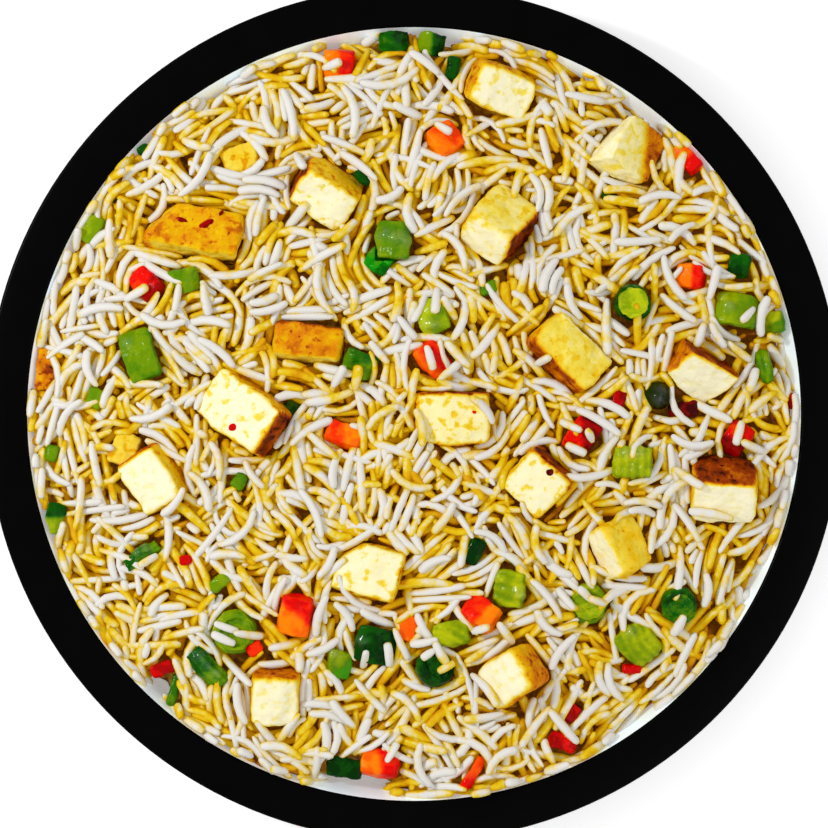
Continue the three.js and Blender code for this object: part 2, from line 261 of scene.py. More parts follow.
def plate_section():
    """Radius and height along the plate's outline, from under its middle round the rim to the floor."""
    wall_foot = WELL_RADIUS - WALL_INSET
    outer_foot = wall_foot + WALL_THICKNESS
    corner_top = RIM_TOP - WALL_DROP
    under_rim = RIM_TOP - RIM_THICKNESS
    foot_inside = FOOT_RADIUS - FOOT_WIDTH
    under_start = FOOT_RADIUS + FOOT_WIDTH
    under_reach = (outer_foot - under_start, corner_top - FLOOR_UNDERSIDE)
    down = -math.pi / 2
    edge = (EDGE_ROUND, EDGE_ROUND)
    section = [(0, FLOOR_UNDERSIDE), (foot_inside - FOOT_SLOPE, FLOOR_UNDERSIDE), (foot_inside, 0)]
    section += [(FOOT_RADIUS, 0), (FOOT_RADIUS + FOOT_SLOPE, FLOOR_UNDERSIDE)]
    section += quarter((under_start, corner_top), under_reach, down, CORNER_STEPS)
    section += [(outer_foot + WALL_FLARE, under_rim)]
    section += quarter((PLATE_RADIUS - EDGE_ROUND, under_rim + EDGE_ROUND), edge, down, EDGE_STEPS)
    section += quarter((PLATE_RADIUS - EDGE_ROUND, RIM_TOP - EDGE_ROUND), edge, 0, EDGE_STEPS)
    section += quarter((WELL_RADIUS + EDGE_ROUND, RIM_TOP - EDGE_ROUND), edge, math.pi / 2, EDGE_STEPS)
    corner_reach = (CORNER_REACH, corner_top - FLOOR_TOP)
    section += quarter((wall_foot - CORNER_REACH, corner_top), corner_reach, down, CORNER_STEPS)[::-1]
    return section + [(0, FLOOR_TOP)]


# Shaders


class Wire:
    """A value in a shader. Sums on it add Math nodes."""

    def __init__(self, shader, socket):
        self.shader = shader
        self.socket = socket

    def math(self, operation, *values):
        return self.shader.node("ShaderNodeMath", {"operation": operation}, dict(enumerate(values)))

    def __add__(self, other):
        return self.math("ADD", self, other)

    def __radd__(self, other):
        return self.math("ADD", other, self)

    def __sub__(self, other):
        return self.math("SUBTRACT", self, other)

    def __rsub__(self, other):
        return self.math("SUBTRACT", other, self)

    def __mul__(self, other):
        return self.math("MULTIPLY", self, other)

    def __rmul__(self, other):
        return self.math("MULTIPLY", other, self)


class Shader:
    """A material and the one way of adding nodes to it."""

    def __init__(self, name, **uniform):
        self.material = bpy.data.materials.new(name)
        self.material.use_nodes = True
        self.tree = self.material.node_tree
        self.surface = self.tree.nodes["Principled BSDF"]
        for key, value in uniform.items():
            self.surface.inputs[key.replace("_", " ").title().replace("Ior", "IOR")].default_value = value
        self.place = self.node("ShaderNodeTexCoord", {}, {}, "Object")

    def node(self, kind, settings, values, output=0):
        made = self.tree.nodes.new(kind)
        for key, value in settings.items():
            if key == "stops":
                self.fill_ramp(made, value)
            else:
                setattr(made, key, value)
        for key, value in values.items():
            self.feed(made.inputs[key], value)
        return Wire(self, made.outputs[output])

    def feed(self, socket, value):
        if isinstance(value, Wire):
            self.tree.links.new(value.socket, socket)
        else:
            socket.default_value = value

    def fill_ramp(self, made, stops):
        elements = made.color_ramp.elements
        for position, _ in stops[2:]:
            elements.new(position)
        for element, (position, colour) in zip(elements, stops):
            element.position = position
            element.color = colour

    def ramp(self, value, *stops):
        return self.node("ShaderNodeValToRGB", {"stops": stops}, {"Fac": value})

    def smooth_step(self, value, low, high):
        ranges = {"Value": value, "From Min": low, "From Max": high}
        return self.node("ShaderNodeMapRange", {"interpolation_type": "SMOOTHSTEP"}, ranges)

    def mix(self, share, first, second):
        return self.node("ShaderNodeMix", {"data_type": "RGBA"}, {0: share, 6: first, 7: second}, 2)

    def noise(self, size, detail=2.0, roughness=0.5, at=None):
        values = {"Vector": at or self.place, "Scale": 1 / size, "Detail": detail, "Roughness": roughness}
        return self.node("ShaderNodeTexNoise", {}, values)

    def stretched(self, scale, turn):
        return self.node("ShaderNodeMapping", {}, {"Vector": self.place, "Scale": scale, "Rotation": turn})

    def height(self):
        return self.node("ShaderNodeSeparateXYZ", {}, {"Vector": self.place}, "Z")

    def attribute(self, name):
        return self.node("ShaderNodeAttribute", {"attribute_name": name}, {}, "Fac")

    def bump(self, height, distance, strength=1.0):
        values = {"Height": height, "Distance": distance, "Strength": strength}
        return self.node("ShaderNodeBump", {}, values)

    def finished(self, colour, roughness, normal=None):
        self.feed(self.surface.inputs["Base Color"], colour)
        self.feed(self.surface.inputs["Roughness"], roughness)
        if normal:
            self.feed(self.surface.inputs["Normal"], normal)
        return self.material


# Colours of the grains from crest to depth: white and cream, then golden and brown, partly the oil's colour
# and partly painted shade
RICE_COLOURS_AND_SHADE = stops(
    (0.05, 226, 223, 217), (0.14, 229, 216, 180), (0.24, 226, 203, 112), (0.32, 218, 188, 24),
    (0.46, 206, 163, 0), (0.66, 190, 130, 0), (0.86, 156, 84, 0), (1.0, 88, 36, 0),
)
# Linear colours of a painted glow in the depths of the heap, which stands in for light that comes through
# the grains
RICE_PAINTED_GLOW = [
    (0.12, (0, 0, 0, 1)), (0.34, (0.092, 0.064, 0, 1)), (0.60, (0.155, 0.084, 0, 1)),
    (0.86, (0.14, 0.056, 0, 1)), (1.0, (0.05, 0.016, 0, 1)),
]
PANEER_COLOURS = stops(
    (0.0, 247, 240, 204), (0.12, 246, 234, 170), (0.24, 240, 216, 74), (0.42, 234, 186, 0),
    (0.60, 216, 126, 0), (0.78, 156, 58, 0), (1.0, 66, 14, 0),
)
CARROT_REDS = stops((0.08, 160, 0, 0), (0.36, 236, 6, 0), (0.56, 250, 58, 0), (0.90, 255, 132, 0))
PEPPER_REDS = stops((0.10, 62, 0, 0), (0.40, 164, 0, 0), (0.65, 232, 10, 0), (0.92, 248, 84, 0))
GREENS = stops(
    (0.04, 0, 44, 0), (0.28, 14, 92, 0), (0.50, 88, 134, 0), (0.72, 132, 158, 0), (0.96, 186, 198, 10)
)
CELERY_GREENS = stops(
    (0.0, 0, 84, 0), (0.14, 16, 150, 0), (0.34, 84, 124, 0), (0.55, 130, 152, 0), (0.85, 186, 192, 6)
)
DARK_GREENS = stops((0.1, 4, 12, 0), (0.5, 30, 48, 0), (0.9, 80, 104, 0))
# Colours, gloss, fibre, and how much patches differ, of each kind of vegetable
VEGETABLES = {
    "carrot": (CARROT_REDS, 0.2, 0.4, 0.16),
    "red_pepper": (PEPPER_REDS, 0.08, 0.2, 0.16),
    "green_pepper": (GREENS, 0.07, 0.2, 0.12),
    "celery": (CELERY_GREENS, 0.1, 0.7, 0.14),
    "onion_ring": (GREENS, 0.1, 0.5, 0.16),
    "onion_tube": (GREENS, 0.07, 0.7, 0.12),
    "pea": (DARK_GREENS, 0.07, 0.1, 0.1),
}


def white_glaze_material():
    """White glaze in the well, very slightly blue, with faint orange peel, and a painted glow that stands
    in for light bouncing onto it.
    """
    painted_glow = (0.86, 0.94, 1.0, 1)
    shader = Shader("white_glaze", specular_ior_level=0.3, emission_strength=0.28, emission_color=painted_glow)
    peel = shader.noise(3 * MM)
    colour = shader.mix(peel, srgb(220, 236, 248), srgb(234, 246, 255))
    return shader.finished(colour, 0.22 + peel * 0.12, shader.bump(peel, 0.03 * MM, 0.4))


def black_glaze_material():
    """Black glaze on the rim and the outside, worn to bare clay where the foot rests."""
    shader = Shader("black_glaze", specular_ior_level=0.03)
    peel = shader.noise(3 * MM)
    broad = shader.noise(9 * MM)
    black = shader.mix(broad, (0.0003, 0.0003, 0.0003, 1), (0.0007, 0.0007, 0.0007, 1))
    glazed = shader.smooth_step(shader.height() + (peel - 0.5) * 0.6 * MM, 0.2 * MM, 0.7 * MM)
    colour = shader.mix(glazed, srgb(120, 104, 88), black)
    return shader.finished(colour, 0.26 + broad * 0.14, shader.bump(peel, 0.03 * MM, 0.4))


def rice_material():
    """Grains: white crests; golden flanks and lower layers and brown depths, partly the oil's colour and
    partly painted shade; and a painted glow in the depths that stands in for light coming through the
    grains.
    """
    shader = Shader("rice_grains", specular_ior_level=0.1, emission_strength=1.0)
    depth = shader.attribute("depth")
    flank = shader.attribute("flank")
    tone = shader.attribute("tone")
    stain = shader.noise(8 * MM, 3.0, 0.55)
    fine = shader.noise(1.1 * MM, 2.0)
    edge = shader.smooth_step(flank, 0.15, 0.85)
    mottle = shader.noise(2.2 * MM, 2.0, 0.5)
    # Painted shade: grains lower in the heap and the sides of each grain turn golden, then brown, partly
    # the oil's colour; stain, mottle, fine and tone vary at random
    shade = depth * 1.4 + edge * 0.17 + tone * (0.35 + stain) * 0.44 - 0.07
    shade = shade + (stain - 0.5) * 1.0 + (mottle - 0.5) * 0.3 + (fine - 0.5) * 0.1
    # Painted glow that lightens the painted shade in the depths, standing in for light that comes through
    # the grains
    shader.feed(shader.surface.inputs["Emission Color"], shader.ramp(shade, *RICE_PAINTED_GLOW))
    shader.material.cycles.emission_sampling = "NONE"
    colour = shader.ramp(shade, *RICE_COLOURS_AND_SHADE)
    return shader.finished(colour, 0.34 + fine * 0.2, shader.bump(fine, 0.12 * MM, 0.5))


def core_material():
    """Rice deep in the heap, which shows through the gaps between grains, in golden and brown spots that
    are partly the oil's colour and partly painted shade.
    """
    shader = Shader("rice_core", specular_ior_level=0.2)
    spots = shader.noise(2.2 * MM, 3.0)
    colour = shader.ramp(spots, *stops((0.3, 116, 70, 3), (0.5, 182, 126, 6), (0.7, 214, 166, 16)))
    return shader.finished(colour, 0.5 + spots * 0.2, shader.bump(spots, 0.8 * MM))


def paneer_material():
    """Cream curd on the cut faces, fried to yellow, gold and brown where it met the pan."""
    shader = Shader("paneer", specular_ior_level=0.06)
    fried = shader.attribute("fried")
    mottle = shader.attribute("mottle")
    broad = shader.noise(5.5 * MM, 3.0, 0.6)
    blotch = shader.noise(2.6 * MM, 2.0, 0.45)
    fine = shader.noise(0.7 * MM, 3.0, 0.6)
    dent = shader.smooth_step(blotch, 0.50, 0.70)
    char = shader.smooth_step(shader.noise(1.9 * MM, 2.0), 0.60, 0.74)
    amount = fried * (0.6 + broad * 0.76) + (broad - 0.5) * 0.14 + char * fried * 0.4
    amount = amount + dent * mottle * 0.3 + (fine - 0.5) * 0.14
    colour = shader.ramp(amount, *PANEER_COLOURS)
    relief = fine * 0.4 - dent * 0.8 + broad
    return shader.finished(colour, 0.42 + fine * 0.25, shader.bump(relief, 0.3 * MM, 0.5))


def vegetable_material(name, colours, gloss, fibre, split):
    """Moist cooked vegetable: the tone attribute sets how light a piece is, which holds its own colour and
    painted light and shade, with patches and fibres.
    """
    shader = Shader(name, specular_ior_level=0.07, coat_roughness=0.2, coat_ior=1.6)
    tone = shader.attribute("tone")
    broad = shader.noise(5 * MM, 2.0)
    patches = shader.smooth_step(broad, 0.44, 0.58)
    streaks = shader.noise(1.2 * MM, 3.0, 0.6, shader.stretched((0.35, 1.0, 1.0), (0, 0, 0.6)))
    fine = shader.noise(0.6 * MM, 2.0)
    amount = tone + (patches - 0.5) * split + (streaks - 0.5) * 0.4 * fibre + (fine - 0.5) * 0.12
    colour = shader.ramp(amount, *colours)
    relief = streaks * fibre + fine * 0.5 + broad
    shader.feed(shader.surface.inputs["Coat Weight"], shader.attribute("moist"))
    return shader.finished(colour, gloss + fine * 0.08, shader.bump(relief, 0.22 * MM, 0.5))


def floor_material():
    shader = Shader("floor", specular_ior_level=0.1, emission_strength=0.4, emission_color=(1, 1, 1, 1))
    grain = shader.noise(60 * MM)
    return shader.finished(shader.mix(grain, (0.93, 0.93, 0.93, 1), (0.96, 0.96, 0.96, 1)), 0.9)


# Height maps of the heap, in millimetres on a square grid


SIDE = int(2 * HEAP_REACH / CELL) + 1
AXIS = np.linspace(-HEAP_REACH, HEAP_REACH, SIDE)
GRID_X, GRID_Y = np.meshgrid(AXIS, AXIS, indexing="ij")
GRID_R = np.hypot(GRID_X, GRID_Y)
ABOVE_ALL = 100 * MM


def cells_of(x, y):
    """Column and row in the grid of a place or of many places."""
    column = np.clip(np.rint((x + HEAP_REACH) / CELL).astype(int), 0, SIDE - 1)
    row = np.clip(np.rint((y + HEAP_REACH) / CELL).astype(int), 0, SIDE - 1)
    return column, row


def around(column, row, reach):
    """The part of the grid up to reach cells from one cell."""
    return slice(column - reach, column + reach + 1), slice(row - reach, row + reach + 1)


def heights_from_above(objects, missing):
    """Height of the first thing that a ray straight down meets, for each cell."""
    points, faces = [], []
    for thing in objects:
        mesh = thing.data
        start = len(points)
        points += [vertex.co.copy() for vertex in mesh.vertices]
        faces += [[start + i for i in polygon.vertices] for polygon in mesh.polygons]
    tree = BVHTree.FromPolygons(points, faces)
    found = np.full((SIDE, SIDE), missing)
    down = Vector((0, 0, -1))
    for column, row in np.argwhere(GRID_R < WELL):
        start = Vector((AXIS[column] * MM, AXIS[row] * MM, ABOVE_ALL))
        hit = tree.ray_cast(start, down)[0]
        if hit:
            found[column, row] = hit.z / MM
    return found


def well_heights():
    """Height of the well's own surface for each cell: flat floor, round corner and leaning wall."""
    wall_foot = (WELL_RADIUS - WALL_INSET) / MM
    corner_top = (RIM_TOP - WALL_DROP) / MM
    corner_reach, floor_top = CORNER_REACH / MM, FLOOR_TOP / MM
    radius = GRID_R - WALL_SINK
    share = np.clip((radius - wall_foot + corner_reach) / corner_reach, 0, 1)
    corner = corner_top - (corner_top - floor_top) * np.sqrt(1 - share * share)
    wall = np.clip((radius - wall_foot) / (WALL_INSET / MM), 0, 1) * WALL_DROP / MM
    return corner + wall


def blurred(values, reach):
    """Box blur, twice, with the same reach along both axes."""
    width = 2 * max(1, int(reach / CELL)) + 1
    kernel = np.ones(width) / width
    for _ in range(2):
        values = np.apply_along_axis(np.convolve, 0, values, kernel, "same")
        values = np.apply_along_axis(np.convolve, 1, values, kernel, "same")
    return values


def spread(values, reach):
    """Highest value within reach of each cell."""
    steps = int(reach / CELL)
    best = values.copy()
    for _ in range(steps):
        grown = best.copy()
        grown[1:] = np.maximum(grown[1:], best[:-1])
        grown[:-1] = np.maximum(grown[:-1], best[1:])
        grown[:, 1:] = np.maximum(grown[:, 1:], best[:, :-1])
        grown[:, :-1] = np.maximum(grown[:, :-1], best[:, 1:])
        best = grown
    return best


# Grains


# How a grain comes to rest: shares of its width, probes along it and the one counted from the highest
# that carries it, slopes, millimetres, the share of its length that counts, and places tried and kept
STAMP_SHARE = 0.44
BESIDE_SHARE = 0.28
REST_SHARE = 0.24
PROBES = 9
CARRYING_PROBE = 4
TILT = 0.35
STEEPEST = 1.0
PRESS_STEP = 0.8
MOST_PROUD = 0.5
LEAST_ROOM = 0.1
REFUSAL = 0.8
PRESSED_SHARE = 0.9
PLACES_TRIED = 10
PLACES_KEPT = 3
# How much of a grain may lie over toppings: most grains, and the share of them that may lie further over
CLEAR_OF_TOPPINGS = 0.15
OVER_TOPPINGS = 0.4
OVER_SHARE = 0.25
# Lengths in millimetres, as limits or as mean, spread and limits; bends in radians; widths as shares
BROKEN_LENGTHS = (3.6, 7.0)
WHOLE_LENGTHS = (14.4, 3.2, 7, 20)
STREWN_LENGTHS = (14.5, 2.5, 9, 20)
HOOK_SHARE = 0.55
HOOKS = (0.4, 1.4)
HOOK_LENGTH = 13
SLIM_RANGE = 0.32
SLIMMEST_BROKEN = 0.72
SLIMMEST_WHOLE = 0.8
LAID_WIDTHS = (0.95, 1.1)
BEND_SPREAD = 0.3
# Directions tried for a grain: how far off the grains are that it may lie like, and how exactly it
# follows them or the wall
NEIGHBOUR_REACH = 2.4
LIKE_NEIGHBOUR = 0.12
ALONG_WALL = 0.45
# A grain beside the last one: how many widths apart, and how far it is shifted, turned and bent; its
# change of length, with the least and the most length
BESIDE_APART = 0.95
BESIDE_SHIFT = 2.2
BESIDE_TURN = 0.09
BESIDE_LENGTHS = (1.8, 6, 19)
BESIDE_BEND = 0.15
# Strewn grains: least distance from the wall, how proud of the level they may be, bends, shares that
# may lie over toppings and beside others, cells taken up round each, and how many come in pairs
STREW_MARGIN = 8
STREWN_PROUD = 2.4
STREWN_BENDS = (0.2, 1.5)
STREWN_OVER = 0.1
STREWN_CROWD = 0.15
STREWN_APART = 4
PAIR_SHARE = 0.5
# Grains along the wall: lengths, distances from the wall, how proud, turn, and share over toppings
WALL_LENGTHS = (4, 10)
WALL_GAPS = (0.8, 2.6)
WALL_PROUD = 1.2
WALL_TURN = 0.25
WALL_OVER = 0.2
# Shape of a grain: taper, unevenness, height to width, sag in millimetres, and the least turn
TAPER = 0.2
UNEVEN = 0.035
FLATNESS = (0.78, 0.95)
SAG = 0.25
STRAIGHT = 1e-4


def grain_lines(x, y, yaw, length, bend, count):
    """Points along the middle of a grain that curves by bend, and how far along it each one is."""
    along = np.linspace(-0.5, 0.5, count) * length
    turn = bend / length
    if abs(turn) < STRAIGHT:
        local_x = along
        local_y = np.zeros(count)
    else:
        local_x = np.sin(turn * along) / turn
        local_y = (1 - np.cos(turn * along)) / turn
    cos, sin = math.cos(yaw), math.sin(yaw)
    return x + cos * local_x - sin * local_y, y + sin * local_x + cos * local_y, along


class Heap:
    """Grains dropped one after another, each at rest on what lies below it."""

    def __init__(self, floor, level, toppings):
        self.rng = np.random.default_rng(HEAP_SEED)
        self.height = floor.copy()
        self.level = level
        self.toppings = toppings
        self.refused = np.zeros_like(floor)
        self.strewn = np.zeros_like(floor)
        self.inside = GRID_R < WELL - CELL
        self.lay = self.rng.uniform(0, math.pi, floor.shape)
        self.grains = []
        self.reach = int(math.ceil(GRAIN_WIDTH / 2 / CELL))
        steps = np.arange(-self.reach, self.reach + 1) * CELL
        squares = steps[:, None] ** 2 + steps[None, :] ** 2
        square = (GRAIN_WIDTH * STAMP_SHARE) ** 2
        self.stamp = np.where(squares < square, np.sqrt(np.maximum(square - squares, 0)), NOTHING)

    def places(self, near):
        """The places with most room up to the level, among some random ones, and the most room."""
        radius = (WELL - WALL_ROOM) * np.sqrt(self.rng.random(PLACES_TRIED))
        angle = self.rng.random(PLACES_TRIED) * 2 * math.pi
        x = radius * np.cos(angle)
        y = radius * np.sin(angle)
        rooms = []
        for column, row in zip(*cells_of(x, y)):
            part = around(column, row, near)
            room = ((self.level[part] + GRAIN_RISE - self.height[part]) * self.inside[part]).mean()
            rooms.append(room - self.refused[column, row])
        order = np.argsort(rooms)[::-1][:PLACES_KEPT]
        return [(x[i], y[i]) for i in order], rooms[order[0]]

    def settle(self, x, y, yaw, length, bend, width, over_topping, tilt=TILT):
        """Height and slope at rest and how proud of the level, or None where a grain would not stay."""
        xs, ys, along = grain_lines(x, y, yaw, length, bend, PROBES)
        if np.hypot(xs, ys).max() > WELL - WALL_ROOM:
            return None
        middle_cells = cells_of(xs, ys)
        if self.toppings[middle_cells].mean() > over_topping:
            return None
        normal_x, normal_y = -math.sin(yaw), math.cos(yaw)
        under = self.height[middle_cells]
        for side in (-BESIDE_SHARE, BESIDE_SHARE):
            cells = cells_of(xs + normal_x * side * width, ys + normal_y * side * width)
            under = np.maximum(under, self.height[cells])
        roof = self.level[middle_cells]
        lie = (roof[-1] - roof[0]) / length
        half = PROBES // 2
        slope = (under[half + 1:].mean() - under[:half].mean()) / (length / 2)
        slope = float(np.clip(slope, lie - tilt, lie + tilt))
        rest = float(np.sort(under - slope * along)[-CARRYING_PROBE]) + width * REST_SHARE
        return rest, slope, rest - float((roof - slope * along).mean())

    def add(self, x, y, yaw, length, bend, width, rest, slope):
        """Keeps a grain where it came to rest, and raises the height map by it."""
        self.grains.append((x, y, rest, yaw, length, bend, width, math.atan(slope)))
        count = int(length / PRESS_STEP) + 2
        xs, ys, along = grain_lines(x, y, yaw, length * PRESSED_SHARE, bend, count)
        columns, rows = cells_of(xs, ys)
        for column, row, z in zip(columns, rows, rest + slope * along):
            near = around(column, row, self.reach)
            if self.height[near].shape == self.stamp.shape:
                self.height[near] = np.maximum(self.height[near], self.stamp + z)
                self.lay[near] = yaw

    def try_here(self, x, y, yaw, length, bend, width, over_topping, proud, tilt=TILT):
        """Adds a grain just here, if it would stay and be no more than proud of the level."""
        found = self.settle(x, y, yaw, length, bend, width, over_topping, tilt)
        if found is None or found[2] > proud:
            return False
        self.add(x, y, yaw, length, bend, width, *found[:2])
        return True

    def lay_down(self, x, y, yaw, length, bend, over_topping=1.0):
        """Lays one grain just here, over whatever is below it."""
        width = GRAIN_WIDTH * self.rng.uniform(*LAID_WIDTHS)
        self.try_here(x, y, yaw, length, bend, width, over_topping, math.inf, STEEPEST)

    def drop(self, places, length, bend, width, over_topping, proud):
        """Lays a grain down in whichever place and direction lets it sink deepest."""
        best = None
        for x, y in places:
            shift_x = self.rng.normal(0, NEIGHBOUR_REACH, 2)
            shift_y = self.rng.normal(0, NEIGHBOUR_REACH, 2)
            beside = cells_of(x + shift_x, y + shift_y)
            yaws = list(self.rng.uniform(0, math.pi, 3))
            yaws += list(self.lay[beside] + self.rng.normal(0, LIKE_NEIGHBOUR, 2))
            if math.hypot(x, y) > WELL - 0.5 * length:
                yaws = list(math.atan2(y, x) + math.pi / 2 + self.rng.normal(0, ALONG_WALL, 4))
            for yaw in yaws:
                found = self.settle(x, y, yaw, length, bend, width, over_topping)
                if found and (best is None or found[2] < best[2]):
                    best = (*found, yaw, x, y)
        if best is None or best[2] > proud:
            return False
        rest, slope, excess, yaw, x, y = best
        rest -= max(0.0, excess - self.rng.uniform(0.0, MOST_PROUD))
        self.add(x, y, yaw, length, bend, width, rest, slope)
        return True

    def drawn_length(self, mean, spread, shortest, longest):
        return float(np.clip(self.rng.normal(mean, spread), shortest, longest))

    def grain_size(self, broken_share):
        """Length, bend and width of a new grain: broken or whole, nearly straight or hooked."""
        if self.rng.random() < broken_share:
            length = self.rng.uniform(*BROKEN_LENGTHS)
        else:
            length = self.drawn_length(*WHOLE_LENGTHS)
        bend = self.rng.normal(0, BEND_SPREAD)
        if self.rng.random() < HOOK_SHARE:
            bend += self.rng.choice((-1, 1)) * self.rng.uniform(*HOOKS) * length / HOOK_LENGTH
        slim = SLIMMEST_BROKEN if length < BROKEN_LENGTHS[1] else SLIMMEST_WHOLE
        return length, bend, GRAIN_WIDTH * self.rng.uniform(slim, slim + SLIM_RANGE)

    def bundle(self, proud):
        """Lays a grain beside the last one, the same way round, where there is room."""
        x, y, _, yaw, length, bend, width, _ = self.grains[-1]
        side = self.rng.choice((-1, 1)) * width * BESIDE_APART
        shift = self.rng.normal(0, BESIDE_SHIFT)
        x += -math.sin(yaw) * side + math.cos(yaw) * shift
        y += math.cos(yaw) * side + math.sin(yaw) * shift
        yaw += self.rng.normal(0, BESIDE_TURN)
        change, shortest, longest = BESIDE_LENGTHS
        length = float(np.clip(length + self.rng.normal(0, change), shortest, longest))
        bend += self.rng.normal(0, BESIDE_BEND)
        return self.try_here(x, y, yaw, length, bend, width, CLEAR_OF_TOPPINGS, proud)

    def strew(self, count):
        """Lays long curved grains loosely over the top of the heap, half of them with one beside."""
        for _ in range(count):
            radius = (WELL - STREW_MARGIN) * math.sqrt(self.rng.random())
            angle = self.rng.uniform(0, 2 * math.pi)
            length = self.drawn_length(*STREWN_LENGTHS)
            bend = self.rng.choice((-1, 1)) * self.rng.uniform(*STREWN_BENDS)
            x, y = radius * math.cos(angle), radius * math.sin(angle)
            yaw = self.rng.uniform(0, math.pi)
            cells = cells_of(*grain_lines(x, y, yaw, length, bend, PROBES)[:2])
            found = self.settle(x, y, yaw, length, bend, GRAIN_WIDTH, STREWN_OVER)
            if found and found[2] < STREWN_PROUD and self.strewn[cells].mean() < STREWN_CROWD:
                self.lay_down(x, y, yaw, length, bend)
                if self.rng.random() < PAIR_SHARE:
                    self.bundle(STREWN_PROUD)
                for column, row in zip(*cells):
                    self.strewn[around(column, row, STREWN_APART)] = 1

    def pour(self, count, near, broken_share, proud):
        """Drops whole and broken grains where the heap is furthest below its level."""
        made = 0
        for _ in range(count * 2):
            if self.grains and self.rng.random() < BUNDLE_SHARE and self.bundle(MOST_PROUD):
                made += 1
                continue
            places, room = self.places(near)
            if room < LEAST_ROOM or made >= count:
                break
            length, bend, width = self.grain_size(broken_share)
            over_topping = OVER_TOPPINGS if self.rng.random() < OVER_SHARE else CLEAR_OF_TOPPINGS
            if self.drop(places, length, bend, width, over_topping, proud):
                made += 1
            else:
                self.refused[around(*cells_of(*places[0]), 1)] += REFUSAL


def grain_template():
    """Unit grain along X: rings of points between two poles, as quads and end triangles."""
    points = [(-0.5, 0.0, 0.0)]
    for along, reach in GRAIN_SECTIONS:
        for i in range(GRAIN_SIDES):
            angle = 2 * math.pi * i / GRAIN_SIDES
            points.append((along, reach * math.cos(angle), reach * math.sin(angle)))
    points.append((0.5, 0.0, 0.0))
    last = len(points) - 1
    faces = []
    for i in range(GRAIN_SIDES):
        after = (i + 1) % GRAIN_SIDES
        faces.append([0, 1 + after, 1 + i])
        for ring in range(len(GRAIN_SECTIONS) - 1):
            low, high = 1 + ring * GRAIN_SIDES, 1 + (ring + 1) * GRAIN_SIDES
            faces.append([low + i, low + after, high + after, high + i])
        top = 1 + (len(GRAIN_SECTIONS) - 1) * GRAIN_SIDES
        faces.append([top + i, top + after, last])
    return np.array(points), faces


def grain_points(grains, template, rng):
    """All points of many grains: the template scaled, bent, rolled, tilted, turned and put in place."""
    x, y, z, yaw, length, bend, width, tilt = [column[:, None] for column in np.array(grains).T]
    one_each = (len(grains), 1)
    share, across, upward = [column[None, :] for column in template.T]
    along = share * length
    roll = rng.uniform(0, 2 * math.pi, one_each)
    taper = 1 + rng.uniform(-TAPER, TAPER, one_each) * share * 2
    taper = taper * (1 + rng.normal(0, UNEVEN, (len(grains), len(template))))
    flat = rng.uniform(*FLATNESS, one_each)
    across = across * width / 2 * taper
    upward = upward * width / 2 * taper * flat
    side = across * np.cos(roll) - upward * np.sin(roll)
    rise = across * np.sin(roll) + upward * np.cos(roll)
    turn = bend / length
    turn = np.where(np.abs(turn) < STRAIGHT, STRAIGHT, turn)
    bent_x = np.sin(turn * along) / turn - side * np.sin(turn * along)
    bent_y = (1 - np.cos(turn * along)) / turn + side * np.cos(turn * along)
    sag = rng.uniform(-SAG, SAG, one_each) * (4 * share ** 2 - 0.5)
    world_z = z + rise * np.cos(tilt) + bent_x * np.sin(tilt) + sag
    flat_x = bent_x * np.cos(tilt) - rise * np.sin(tilt)
    world_x = x + flat_x * np.cos(yaw) - bent_y * np.sin(yaw)
    world_y = y + flat_x * np.sin(yaw) + bent_y * np.cos(yaw)
    return np.stack([world_x, world_y, world_z], axis=2), rise / (width / 2)


def joined_mesh(name, copies, faces):
    """One mesh from many copies of one shape: copies holds each copy's points, in millimetres."""
    count, size = copies.shape[:2]
    lengths = np.array([len(face) for face in faces])
    corners = np.concatenate([np.array(face) for face in faces])
    starts = np.concatenate([[0], np.cumsum(lengths)[:-1]])
    all_corners = (corners[None, :] + size * np.arange(count)[:, None]).ravel()
    all_starts = (starts[None, :] + len(corners) * np.arange(count)[:, None]).ravel()
    mesh = bpy.data.meshes.new(name)
    mesh.vertices.add(count * size)
    mesh.vertices.foreach_set("co", (copies * MM).astype(np.float32).ravel())
    mesh.loops.add(len(all_corners))
    mesh.loops.foreach_set("vertex_index", all_corners.astype(np.int32))
    mesh.polygons.add(len(all_starts))
    mesh.polygons.foreach_set("loop_start", all_starts.astype(np.int32))
    mesh.polygons.foreach_set("use_smooth", np.ones(len(all_starts), bool))
    mesh.update(calc_edges=True)
    mesh.validate()
    return linked(name, mesh)


def set_attribute(piece, name, values):
    layer = piece.data.attributes.new(name, "FLOAT", "POINT")
    layer.data.foreach_set("value", np.asarray(values, np.float32).ravel())


# Pieces of food


# Size of the faces of each kind of topping, in millimetres
FACE_SIZES = {
    "paneer": 0.42, "carrot": 0.35, "red_pepper": 0.3, "green_pepper": 0.3, "celery": 0.32,
    "onion_ring": 0.28, "onion_tube": 0.28, "pea": 0.35,
}
# Rounding of cut edges, and the sizes and heights of the relief, in millimetres
ROUNDING = {"paneer": 1.1, "vegetable": 0.5}
RELIEF = {"paneer": [(9, 2.0), (2.2, 0.4)], "vegetable": [(5, 1.2), (1.6, 0.25)]}

